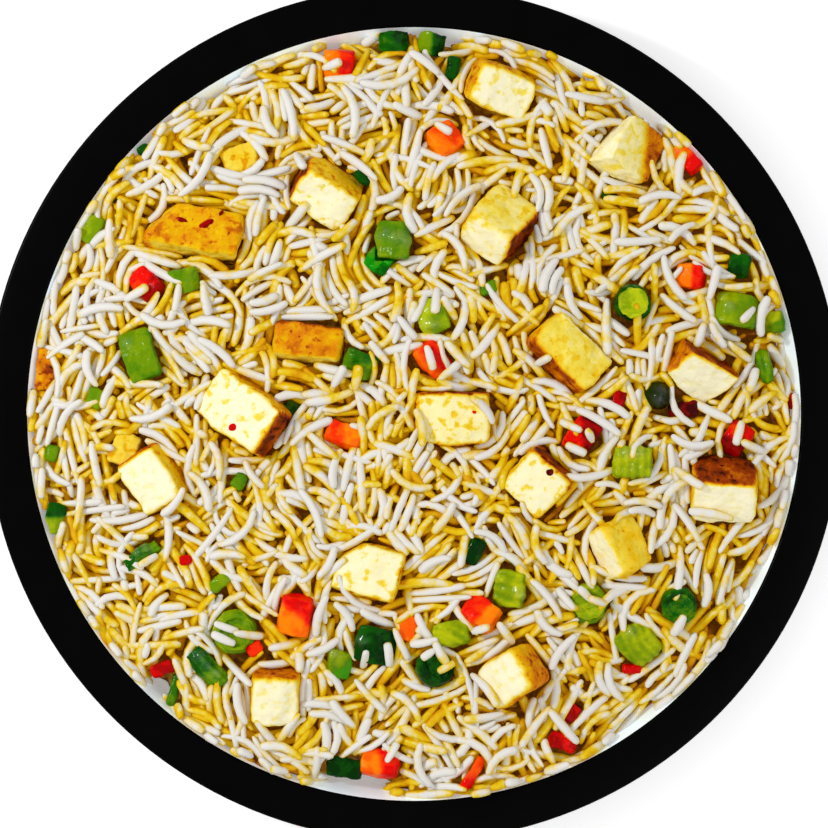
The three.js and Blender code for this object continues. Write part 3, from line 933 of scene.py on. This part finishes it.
# Which way the top face of each paneer piece in turn leans, how brown and how mottled it is, and its
# browned sides: heading and height in degrees, and how brown, from 0 for cream to 1 for charred
PANEER_LOOKS = [
    ((306, 17), 0.02, 0.7, [(156, 10, 0.52), (66, 20, 0.5), (336, 0, 0.5)]),
    ((2, 40), 0.18, 0.35, [(0, 45, 0.16), (170, 45, 0.06), (135, 12, 0.06), (270, 10, 0.1)]),
    ((256, 28), 0.02, 0.8, [(56, 20, 0.40), (146, 10, 0.85)]),
    ((68, 43), 0.19, 0.55, [(68, 45, 0.21), (248, 40, 0.04), (340, 0, 0.9)]),
    ((84, 14), 0.50, 0.5, [(84, 76, 0.50), (260, 10, 0.3)]),
    ((95, 10), 0.57, 0.4, [(95, 80, 0.57), (84, 0, 0.9), (264, 10, 0.25)]),
    ((20, 18), 0.22, 0.5, [(20, 72, 0.24), (180, 10, 0.64), (225, 10, 0.7), (40, 0, 0.1)]),
    ((265, 40), 0.0, 0.3, [(135, 20, 0.6), (45, 30, 0.8)]),
    ((165, 21), 0.02, 0.8, [(-35, 15, 0.84), (55, 5, 0.5)]),
    ((270, 6), 0.12, 0.9, [(90, 0, 0.8), (270, 0, 0.6)]),
    ((212, 18), 0.0, 0.4, [(33, 15, 0.44), (123, 0, 0.7)]),
    ((228, 15), 0.05, 0.9, [(48, 10, 0.84), (-42, 0, 0.6)]),
    ((268, 36), 0.0, 0.4, [(87, 40, 0.84)]),
    ((30, 34), 0.32, 0.35, [(28, 55, 0.34), (205, 20, 0.04)]),
    ((150, 7), 0.05, 0.9, [(165, 0, 0.5)]),
    ((200, 34), 0.0, 0.5, [(32, 40, 0.5), (302, 10, 0.6)]),
    ((272, 20), 0.02, 0.5, [(87, 15, 0.66)]),
]
BROWN_SIDES = 0.42
# How squarely a face has to look a way to count as looking there, as none and as full
TOP_FACING = (0.35, 0.85)
SIDE_FACING = (0.62, 0.9)
FRY_ROUNDS = 12
SELF_SHARE = 0.4


def heading(azimuth, elevation):
    """Unit vector for two angles in degrees."""
    a, e = math.radians(azimuth), math.radians(elevation)
    return np.array([math.cos(a) * math.cos(e), math.sin(a) * math.cos(e), math.sin(e)])


def vectors_of(source, key):
    values = np.zeros(len(source) * 3, np.float32)
    source.foreach_get(key, values)
    return values.reshape(-1, 3)


def points_of(piece):
    return vectors_of(piece.data.vertices, "co")


def normals_of(piece):
    return vectors_of(piece.data.vertex_normals, "vector")


def rising(values, low, high):
    """Smooth step from 0 at low to 1 at high."""
    share = np.clip((values - low) / (high - low), 0, 1)
    return share * share * (3 - 2 * share)


def averaged(piece, values, rounds):
    """Values on a piece's points, each taken towards the mean of its neighbours, some rounds."""
    edges = np.zeros(len(piece.data.edges) * 2, np.int32)
    piece.data.edges.foreach_get("vertices", edges)
    first, second = edges[0::2], edges[1::2]
    count = len(values)
    neighbours = np.bincount(first, minlength=count) + np.bincount(second, minlength=count)
    for _ in range(rounds):
        total = np.bincount(first, values[second], count) + np.bincount(second, values[first], count)
        values = SELF_SHARE * values + (1 - SELF_SHARE) * total / np.maximum(neighbours, 1)
    return values


# Ribs along stalks and leaves: heading across them in degrees, and spacing in millimetres
RIBS = {
    "celery_07": (35, 2.6), "celery_03": (5, 2.4), "celery_06": (80, 3.0), "celery_05": (70, 2.6),
    "onion_tube_01": (120, 1.7), "onion_tube_02": (45, 2.0), "green_pepper_10": (10, 2.2),
}
# Where tone changes from one side to the other, as painted light and shade, and how much painted light
# makes it lighter where it faces the light
TONE_STEP = (-0.18, 0.22)
TONE_LIT = 0.1
RIB_RISE = 0.14
RIB_TONE = 0.05
WOBBLE = 1.3
WOBBLE_LENGTH = 2.3
# Pieces with rounder edges than their kind, in millimetres
ROUNDED = {"celery_07": 3.4, "green_pepper_09": 2.0, "celery_05": 1.6, "celery_04": 1.8, "paneer_16": 2.2}
# Corners that are cut off paneer pieces: heading, and a pixel on the cut
CUT_CORNERS = {
    "paneer_02": (135, 610, 134), "paneer_05": (131, 160, 217), "paneer_08": (58, 716, 358),
    "paneer_15": (118, 347, 547),
}
CUT_LEAN = 12
BEAD_RISE = 1.0
BEAD_REACH = 2.0
# Pixels where a moist skin rises in a small bead and catches the light
BEADS = {
    "green_pepper_03": [(379, 237), (386, 235), (393, 239), (400, 238), (407, 242)],
    "green_pepper_05": [(129, 344)], "green_pepper_06": [(426, 324), (433, 325)],
    "green_pepper_09": [(722, 298), (728, 305)], "green_pepper_12": [(362, 640)],
    "onion_tube_01": [(137, 552), (146, 547)], "celery_03": [(638, 452), (624, 453)],
    "onion_tube_02": [(200, 656), (208, 664), (216, 672)], "celery_04": [(333, 652)],
    "pea_01": [(660, 390), (657, 400)], "celery_06": [(519, 593)], "celery_07": [(630, 630)],
}


def cut_corner(piece, azimuth, column, row):
    """Slices off what lies beyond a pixel's place in the given heading."""
    x, y = spot(column, row)
    edit(piece)
    place, facing = (x * MM, y * MM, RIM_TOP), tuple(heading(azimuth, CUT_LEAN))
    bpy.ops.mesh.bisect(plane_co=place, plane_no=facing, use_fill=True, clear_outer=True)
    done(piece)


def shaped_topping(node, kind):
    """A topping with rounded cut edges and an uneven moist surface, in its solid's place."""
    piece = merged_copy(node, f"{node}_food")
    if node in CUT_CORNERS:
        cut_corner(piece, *CUT_CORNERS[node])
    sort = "paneer" if kind == "paneer" else "vegetable"
    if not kind.startswith("onion"):
        width = ROUNDED.get(node, ROUNDING[sort]) * MM
        modify(piece, "BEVEL", width=width, segments=3, limit_method="ANGLE", angle_limit=math.radians(35))
    remeshed(piece, FACE_SIZES[kind] * MM, 5)
    for size, height in RELIEF[sort]:
        roughen(piece, size * MM, height * MM)
    return smooth(piece)


def tint(piece, node, first, last, azimuth):
    """Raises ribs and beads on a vegetable piece, and sets its tone from one side to the other as painted
    light and shade, with painted light where it faces the light.
    """
    points, normals = points_of(piece), normals_of(piece)
    along = points @ heading(azimuth, 0)
    along = (along - along.mean()) / max(along.max() - along.mean(), along.mean() - along.min())
    # Painted light and shade: one side lighter than the other, and lighter where the piece faces the light
    tone = first + (last - first) * rising(along, *TONE_STEP)
    tone = tone + TONE_LIT * (normals @ heading(140, 20))
    if node in RIBS:
        across, spacing = RIBS[node]
        wobble = WOBBLE * np.sin(points @ heading(across + 90, 0) / (WOBBLE_LENGTH * MM))
        wave = np.cos(2 * math.pi * (points @ heading(across, 0)) / (spacing * MM) + wobble)
        points = points + normals * (wave * RIB_RISE * MM)[:, None]
        tone = tone + RIB_TONE * wave
    moist = np.zeros(len(points))
    for column, row in BEADS.get(node, []):
        x, y = spot(column, row)
        away = np.hypot(points[:, 0] / MM - x, points[:, 1] / MM - y)
        bead = np.exp(-(away / BEAD_REACH) ** 2) * (normals[:, 2] > 0.2)
        points = points + normals * (BEAD_RISE * bead * MM)[:, None]
        moist = np.maximum(moist, bead * bead)
    piece.data.vertices.foreach_set("co", points.astype(np.float32).ravel())
    piece.data.update()
    set_attribute(piece, "moist", moist)
    set_attribute(piece, "tone", tone)


# Ends that are scorched: heading, where along it browning starts and is full, and how brown
SCORCHED = {
    "paneer_02": (-5, 0.30, 0.62, 0.64), "paneer_07": (205, 0.35, 0.9, 0.64),
    "paneer_09": (-35, 0.55, 0.95, 0.6), "paneer_16": (15, 0.25, 0.6, 0.58),
    "paneer_05": (190, 0.6, 1.0, 0.66), "paneer_06": (95, 0.5, 1.0, 0.74),
    "paneer_15": (80, 0.86, 1.0, 0.6), "paneer_10": (90, 0.8, 1.0, 0.7), "paneer_13": (80, 0.4, 0.8, 0.86),
}


def fry(piece, node, lean, top_amount, mottle, browned):
    """Sets how brown each point of a paneer piece is, from how it faces and where it is."""
    normals = normals_of(piece)
    top = heading(lean[0], 90 - lean[1])
    sides = 1 - rising(normals @ top, *TOP_FACING)
    fried = top_amount + (BROWN_SIDES - top_amount) * sides
    for azimuth, elevation, amount in browned:
        facing = rising(normals @ heading(azimuth, elevation), *SIDE_FACING)
        fried = fried * (1 - facing) + amount * facing
    if node in SCORCHED:
        azimuth, start, full, amount = SCORCHED[node]
        along = points_of(piece) @ heading(azimuth, 0)
        middle = (along.max() + along.min()) / 2
        fried = np.maximum(fried, amount * rising((along - middle) / (along.max() - middle), start, full))
    set_attribute(piece, "fried", averaged(piece, fried, FRY_ROUNDS))
    set_attribute(piece, "mottle", np.full(len(normals), mottle))


# Tone of each vegetable piece in turn, from 0 for dark to 1 for light: at one side, at the other, and
# the heading from the first to the second; the level is the piece's own colour, and the change from one
# side to the other is painted light and shade
TONES = {
    "carrot": [
        (0.75, 0.36, 0), (0.85, 0.62, 60), (0.72, 0.36, -50), (0.36, 0.10, -30), (0.85, 0.33, 0),
        (0.60, 0.34, 40), (0.50, 0.80, 0), (0.78, 0.34, 50), (0.42, 0.88, -45), (0.72, 0.34, 10),
    ],
    "red_pepper": [(0.64, 0.26, 0), (0.20, 0.62, 70), (0.66, 0.84, 60), (0.36, 0.52, 0)],
    "green_pepper": [
        (0.24, 0.10, 60), (0.52, 0.12, 0), (0.46, 0.52, -90), (0.50, 0.62, 0), (0.52, 0.48, 0),
        (0.78, 0.66, 0), (0.34, 0.54, -90), (0.08, 0.16, 60), (0.66, 0.56, 0), (0.42, 0.54, 0),
        (0.10, 0.72, -90), (0.10, 0.06, 0),
    ],
    "celery": [
        (0.14, 0.02, -30), (0.62, 0.40, -60), (0.64, 0.60, 0), (0.46, 0.32, -60), (0.66, 0.58, 0),
        (0.54, 0.60, 0), (0.52, 0.62, 0),
    ],
    "onion_ring": [(0.12, 0.2, 0), (0.66, 0.58, 0), (0.06, 0.10, 0), (0.72, 0.62, -90), (0.16, 0.38, -90)],
    "onion_tube": [(0.26, 0.40, 0), (0.24, 0.44, -45)],
    "pea": [(0.3, 0.2, 0)],
}


def make_materials():
    materials = {kind: vegetable_material(kind, *looks) for kind, looks in VEGETABLES.items()}
    return {"rice": rice_material(), "core": core_material(), "paneer": paneer_material(), **materials}


def make_toppings(materials):
    """Every topping of the frame, finished in its solid's place."""
    pieces = []
    for kind in FACE_SIZES:
        nodes = sorted(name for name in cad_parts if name.startswith(kind))
        for number, node in enumerate(nodes):
            piece = shaped_topping(node, kind)
            if kind == "paneer":
                fry(piece, node, *PANEER_LOOKS[number])
            else:
                tint(piece, node, *TONES[kind][number])
            slot = "spring_onion" if kind.startswith("onion") else kind
            pieces.append(finish_piece(piece, materials[kind], slot, node))
    return pieces


# Small scraps that lie in the rice, in millimetres and degrees: x, y, turn, length, width, then tone
SCRAPS = {
    "carrot": [
        (-2.1, -64.7, 80, 8, 6, 0.75), (-76.5, -77.4, 20, 7, 4, 0.15), (66.2, -77.4, 0, 6, 3, 0.3),
        (-48.3, -71.1, 30, 5, 4, 0.4), (-69.2, -44.3, 10, 4, 3, 0.3),
    ],
    "red_pepper": [
        (62.0, 4.3, 70, 6, 4, 0.35), (48.0, -91.1, 60, 6, 4, 0.4), (81.7, 1.2, 10, 9, 5, 0.14),
        (115.0, 4.0, 80, 5, 3, 0.35),
    ],
    "green_pepper": [
        (-37.1, 1.5, 40, 6, 5, 0.35), (-52.8, -20.3, 60, 5, 4, 0.45), (18.2, -41.6, 65, 8, 5, 0.05),
        (-96.6, 4.9, 70, 6, 5, 0.6), (-110.0, -11.8, 80, 5, 4, 0.5), (22.5, 38.3, 15, 5, 4, 0.45),
        (-15.5, 71.4, -40, 6, 3, 0.1), (-97.8, 56.2, 55, 9, 5, 0.7), (-21.0, -107.5, -10, 11, 6, 0.05),
        (-72.9, -83.8, 75, 10, 3, 0.4), (11.8, 105.0, 80, 7, 4, 0.1), (-58.9, -51.0, 40, 7, 4, 0.65),
        (-82.3, 80.2, 30, 4, 3, 0.1), (58.6, 66.5, 60, 4, 3, 0.1), (-92.0, 65.9, 45, 4, 3, 0.3),
    ],
    "paneer": [
        (-52.8, 77.7, 20, 11, 8, 0.3), (-87.8, -10.9, 70, 10, 8, 0.3), (-112.0, 13.4, 85, 13, 6, 0.62),
    ],
}
SCRAP_HEIGHT = 4.0


def height_at(heights, x, y):
    return heights[cells_of(np.array(x), np.array(y))]


def make_scrap(name, x, y, top, turn, length, width, tone):
    """A small rounded uneven scrap, with its top at the given height."""
    place = (x * MM, y * MM, (top - SCRAP_HEIGHT / 2) * MM)
    scrap = added(name, bpy.ops.mesh.primitive_cube_add, place, size=MM)
    sized(scrap, (length, width, SCRAP_HEIGHT), turn)
    modify(scrap, "BEVEL", width=0.9 * MM, segments=2)
    remeshed(scrap, 0.35 * MM, 4)
    roughen(scrap, 3 * MM, 1.2 * MM)
    for attribute, value in (("tone", tone), ("fried", tone), ("mottle", 0.8)):
        set_attribute(scrap, attribute, np.full(len(scrap.data.vertices), value))
    return scrap


def make_scraps(rice_top, materials):
    """The scraps of each kind as one piece."""
    made = []
    for kind, rows in SCRAPS.items():
        scraps = []
        for number, (x, y, *shape) in enumerate(rows):
            top = height_at(rice_top, x, y)
            scraps.append(make_scrap(f"{kind}_scrap_{number}", x, y, top, *shape))
        made.append(finish_piece(joined(scraps, f"{kind}_scraps"), materials[kind], kind, "rice"))
    return made


# Dark flakes on the paneer: pixel, length, width, turn and tone
FLAKES = [
    (235, 427, 3.4, 2.5, 20, 0.6), (549, 472, 2.4, 2.2, 0, 0.1), (206, 227, 6.4, 2.8, 35, 0.3),
    (183, 221, 3.8, 1.6, -20, 0.35), (474, 412, 1.3, 1.1, 0, 0.5), (222, 214, 2.4, 1.2, 60, 0.3),
]
FLAKE_SINK = 0.1


def make_flakes(topping_top, materials):
    """Thin scorched flakes pressed onto the cheese, as one piece."""
    flakes = []
    for number, (column, row, length, width, turn, tone) in enumerate(FLAKES):
        x, y = spot(column, row)
        place = (x * MM, y * MM, (height_at(topping_top, x, y) - FLAKE_SINK) * MM)
        ball = bpy.ops.mesh.primitive_ico_sphere_add
        flake = added(f"flake_{number}", ball, place, subdivisions=3, radius=MM / 2)
        sized(flake, (length, width, 1.0), turn)
        roughen(flake, 0.9 * MM, 0.5 * MM)
        set_attribute(flake, "tone", np.full(len(flake.data.vertices), tone))
        flakes.append(flake)
    finish_piece(joined(flakes, "scorched_flakes"), materials["red_pepper"], "red_pepper")


# Grains seen to lie across toppings: pixel of the photograph, direction in degrees, length in
# millimetres, and bend in radians
CROSSING_GRAINS = [
    (443, 129, -30, 6, 0.1), (430, 358, 105, 8, 0.2), (457, 355, -48, 11, 0.2), (450, 371, 39, 9, 0.1),
    (436, 301, 85, 9, 0.1), (449, 309, -60, 9, 0.2), (407, 328, -50, 9, 0.1), (339, 377, 60, 8, 0.1),
    (357, 378, 80, 8, 0.1), (379, 353, -50, 9, 0.1), (227, 627, -20, 8, 0.2), (224, 638, -25, 8, 0.1),
    (249, 634, -8, 10, 0.1), (565, 598, -50, 9, 0.1), (585, 594, -45, 7, 0.1), (596, 600, -20, 6, 0.1),
    (678, 625, 60, 8, 0.2), (424, 642, 10, 9, 0.4), (440, 652, -60, 8, 0.4), (428, 653, 35, 5, 0.0),
    (446, 666, 30, 6, 0.0), (422, 427, 100, 12, 0.8), (484, 408, -50, 12, -0.8), (687, 478, -35, 12, 0.1),
    (710, 513, -10, 14, -0.3), (486, 687, -50, 14, -0.5), (176, 503, 50, 12, 0.7), (592, 513, -50, 11, 0.1),
    (542, 361, 30, 8, 0.1), (365, 659, 80, 9, 0.1), (389, 654, 95, 8, 0.2), (401, 643, -65, 11, 0.1),
    (777, 356, -55, 9, 0.1), (752, 380, 70, 8, 0.1), (738, 287, 5, 9, 0.2), (747, 315, 45, 7, 0.1),
    (760, 316, 80, 13, -0.9), (776, 338, -15, 9, 0.1), (570, 426, -25, 8, 0.1), (589, 436, -60, 7, 0.1),
    (575, 449, -25, 7, 0.1), (738, 433, 75, 8, 0.1), (752, 447, -25, 9, 0.1), (563, 726, -50, 14, 0.1),
    (392, 752, 60, 7, 0.1), (332, 66, 20, 7, 0.2), (137, 294, 30, 9, 0.1), (713, 283, 75, 11, 0.1),
    (323, 446, -40, 12, 0.1), (480, 628, 20, 7, 0.1), (149, 560, 30, 7, 0.1), (505, 632, -55, 9, 0.1),
    (206, 300, -80, 10, 0.2), (724, 344, -30, 11, 0.3), (738, 352, -38, 10, 0.2), (700, 335, 70, 8, 0.1),
    (716, 336, -60, 9, 0.4), (178, 298, 80, 9, 0.1), (300, 162, -60, 9, 0.2), (345, 232, 40, 10, 0.3),
]


def line_wall(heap):
    """Short grains that fill the gaps along the wall, but for the dips where the wall shows."""
    for _ in range(WALL_GRAINS):
        angle = heap.rng.uniform(-180, 180)
        length = heap.rng.uniform(*WALL_LENGTHS)
        radius = WELL - heap.rng.uniform(*WALL_GAPS)
        beside_dip = min(abs((angle - dip + 180) % 360 - 180) for dip in WALL_DIPS)
        turn = math.radians(angle)
        place = (radius * math.cos(turn), radius * math.sin(turn))
        room = height_at(heap.level, *place) + WALL_PROUD - height_at(heap.height, *place)
        if beside_dip > DIP_HALF_WIDTH + math.degrees(length / 2 / radius) and room > 0:
            yaw = turn + math.pi / 2 + heap.rng.normal(0, WALL_TURN)
            heap.lay_down(*place, yaw, length, length / radius, WALL_OVER)


def lay_crossing_grains(heap):
    for column, row, yaw, length, bend in CROSSING_GRAINS:
        heap.lay_down(*spot(column, row), math.radians(yaw), length, bend)


# Hearts of the onion rings: how far their tops are below the ring's, or above it where negative, in
# millimetres, then tone, and share of the ring's radius
RING_HEARTS = {
    "onion_ring_01": (-0.3, 0.84, 0.78), "onion_ring_02": (0.9, 0.56, 0.8),
    "onion_ring_03": (2.4, 0.14, 0.74), "onion_ring_04": (0.9, 0.76, 0.78),
    "onion_ring_05": (1.3, 0.4, 0.74),
}
HEART_HEIGHT = 2.4
HEART_SIDES = 28
# Steps of a heart from its rim to its middle: the rise of each in millimetres, and how wide its flat
# and its slope are, as shares of the heart's radius
HEART_STEPS = (-0.35, 0.15, -0.35)
HEART_FLAT = 0.2
HEART_SLOPE = 0.04


def make_ring_hearts(materials):
    """Inner layers of each ring: a low dome in three steps."""
    hearts = []
    for node, (drop, tone, share) in RING_HEARTS.items():
        low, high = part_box(node)
        middle = (low + high) / 2
        radius = min(high.x - low.x, high.y - low.y) / 2 * share
        place = (middle.x, middle.y, high.z - drop * MM - HEART_HEIGHT / 2 * MM)
        can = bpy.ops.mesh.primitive_cylinder_add
        heart = added(
            f"{node}_heart", can, place, vertices=HEART_SIDES, radius=radius, depth=HEART_HEIGHT * MM
        )
        bpy.ops.object.transform_apply(location=True, rotation=True, scale=True)
        edit(heart)
        bpy.ops.mesh.select_all(action="DESELECT")
        bpy.ops.object.mode_set(mode="OBJECT")
        for face in heart.data.polygons:
            face.select = face.normal.z > 0.9
        bpy.ops.object.mode_set(mode="EDIT")
        for step in HEART_STEPS:
            bpy.ops.mesh.inset(thickness=radius * HEART_FLAT, depth=0)
            bpy.ops.mesh.inset(thickness=radius * HEART_SLOPE, depth=step * MM)
        done(heart)
        remeshed(heart, 0.3 * MM, 3)
        roughen(heart, 2.5 * MM, 1.6 * MM)
        # Tone lighter on the sides that face heading -60 degrees and darker on those that face away
        set_attribute(heart, "tone", tone + 0.14 * (normals_of(heart) @ heading(-60, 0)))
        hearts.append(finish_piece(smooth(heart), materials["onion_ring"], "spring_onion"))
    return hearts


def make_core(level, material):
    """What lies under the loose grains: the heap's own solid, lowered by the layer of grains."""
    core = merged_copy("rice", "rice_core")
    modify(core, "REMESH", mode="VOXEL", voxel_size=CORE_FACE * MM)
    roof = np.maximum(np.maximum(level - GRAIN_LAYER, well_heights()), FLOOR_TOP / MM + CORE_LEAST)
    for vertex in core.data.vertices:
        vertex.co.z = min(vertex.co.z, height_at(roof, vertex.co.x / MM, vertex.co.y / MM) * MM)
    finish_piece(smooth(core), material, "rice", "rice")


def add_grains(heap, level, poured, material):
    """The grains as joined meshes, each point with its depth and flank for the painted shade, and the last
    laid ones whitest.
    """
    template, faces = grain_template()
    rng = np.random.default_rng(GRAIN_SEED)
    for start in range(0, len(heap.grains), GRAINS_A_PIECE):
        grains = heap.grains[start:start + GRAINS_A_PIECE]
        points, upright = grain_points(grains, template, rng)
        layer = start // GRAINS_A_PIECE + 1
        piece = joined_mesh(f"rice_grains_{layer}", points, faces)
        flat = points.reshape(-1, 3)
        # Painted shade: the depth below the level, made greater to the right, and the flank of each point
        # darken the grains
        below = level[cells_of(flat[:, 0], flat[:, 1])] + DEPTH_START - flat[:, 2]
        darker = 1 + DARKER_RIGHT * np.clip(flat[:, 0] / DARKER_REACH, -1, 1)
        set_attribute(piece, "depth", np.clip(below * darker / DEPTH_RANGE, 0, 1))
        set_attribute(piece, "flank", np.clip(1 - upright, 0, 1))
        tone = rng.random(len(grains)) ** TONE_POWER
        tone[max(0, poured - start):] *= TONE_ON_TOP
        set_attribute(piece, "tone", np.repeat(tone, len(template)))
        finish_piece(piece, material, "rice", "rice")


def make_heap(materials, toppings):
    """The core, the scraps, hearts and flakes, and the grains, fitted round the toppings."""
    rice_top = heights_from_above([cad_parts["rice"]], 0.0)
    toppings = toppings + make_scraps(rice_top, materials) + make_ring_hearts(materials)
    topping_top = heights_from_above(toppings, NOTHING)
    make_flakes(topping_top, materials)
    covered = topping_top > NOTHING
    near = spread(covered.astype(float), TOPPING_MARGIN) > 0.5
    known = (~near & (GRID_R < WELL - TOPPING_MARGIN)).astype(float)
    level = blurred(rice_top * known, LEVEL_BLUR) / np.maximum(blurred(known, LEVEL_BLUR), 1e-3)
    make_core(level, materials["core"])
    floor = np.maximum(np.maximum(level - GRAIN_LAYER, topping_top), well_heights())
    level = np.where(covered, np.maximum(level, topping_top), level)
    heap = Heap(floor, level, covered)
    heap.pour(GRAIN_COUNT, near=3, broken_share=0.08, proud=2.0)
    heap.pour(BROKEN_COUNT, near=1, broken_share=0.55, proud=2.4)
    line_wall(heap)
    poured = len(heap.grains)
    heap.strew(STREWN)
    lay_crossing_grains(heap)
    add_grains(heap, level, poured, materials["rice"])


def make_plate():
    """The plate, with white glaze where it faces up inside the well and black glaze elsewhere."""
    plate = spun("plate_glazed", plate_section(), PLATE_STEPS)
    select_only(plate)
    bpy.ops.object.shade_smooth_by_angle(angle=math.radians(40))
    finish_piece(plate, black_glaze_material(), "plate", "plate")
    plate.data.materials.append(white_glaze_material())
    for face in plate.data.polygons:
        in_well = math.hypot(face.center.x, face.center.y) < WELL_RADIUS and face.normal.z > 0.01
        face.material_index = int(in_well)


# Light, floor and camera


def add_area(name, place, size, power):
    """A square light in metres and watts, turned to the middle of the plate."""
    light = bpy.data.lights.new(name, "AREA")
    light.energy = power
    light.size = size
    lamp = linked(name, light)
    lamp.location = place
    lamp.rotation_mode = "QUATERNION"
    lamp.rotation_quaternion = (-Vector(place)).to_track_quat("-Z", "Y")


def make_studio():
    floor = added("floor", bpy.ops.mesh.primitive_plane_add, (0, 0, 0), size=6)
    floor.data.materials.append(floor_material())
    world = bpy.data.worlds.new("studio")
    bpy.context.scene.world = world
    world.use_nodes = True
    sky = world.node_tree.nodes["Background"].inputs
    sky["Color"].default_value = (1, 1, 1, 1)
    sky["Strength"].default_value = 0.68
    add_area("key", (-0.71, 0.25, 0.75), size=0.12, power=4.7)
    add_area("fill", (0.6, -0.35, 0.9), size=0.9, power=2.2)
    settings = bpy.context.scene.view_settings
    settings.view_transform = "Standard"
    settings.look = "None"


CAMERA_RISE = 1.6
HALF_FRAME = 125.7 * MM


def make_camera():
    """A camera straight above the plate, which shows HALF_FRAME to each side at the rim's height."""
    camera_data = bpy.data.cameras.new("camera")
    camera = linked("camera", camera_data)
    camera_data.sensor_width = 36
    camera_data.lens = camera_data.sensor_width / 2 * CAMERA_RISE / HALF_FRAME
    camera.location = (0, 0, RIM_TOP + CAMERA_RISE)
    camera_data.clip_end = 20
    bpy.context.scene.camera = camera


materials = make_materials()
make_plate()
toppings = make_toppings(materials)
make_heap(materials, toppings)
make_studio()
make_camera()
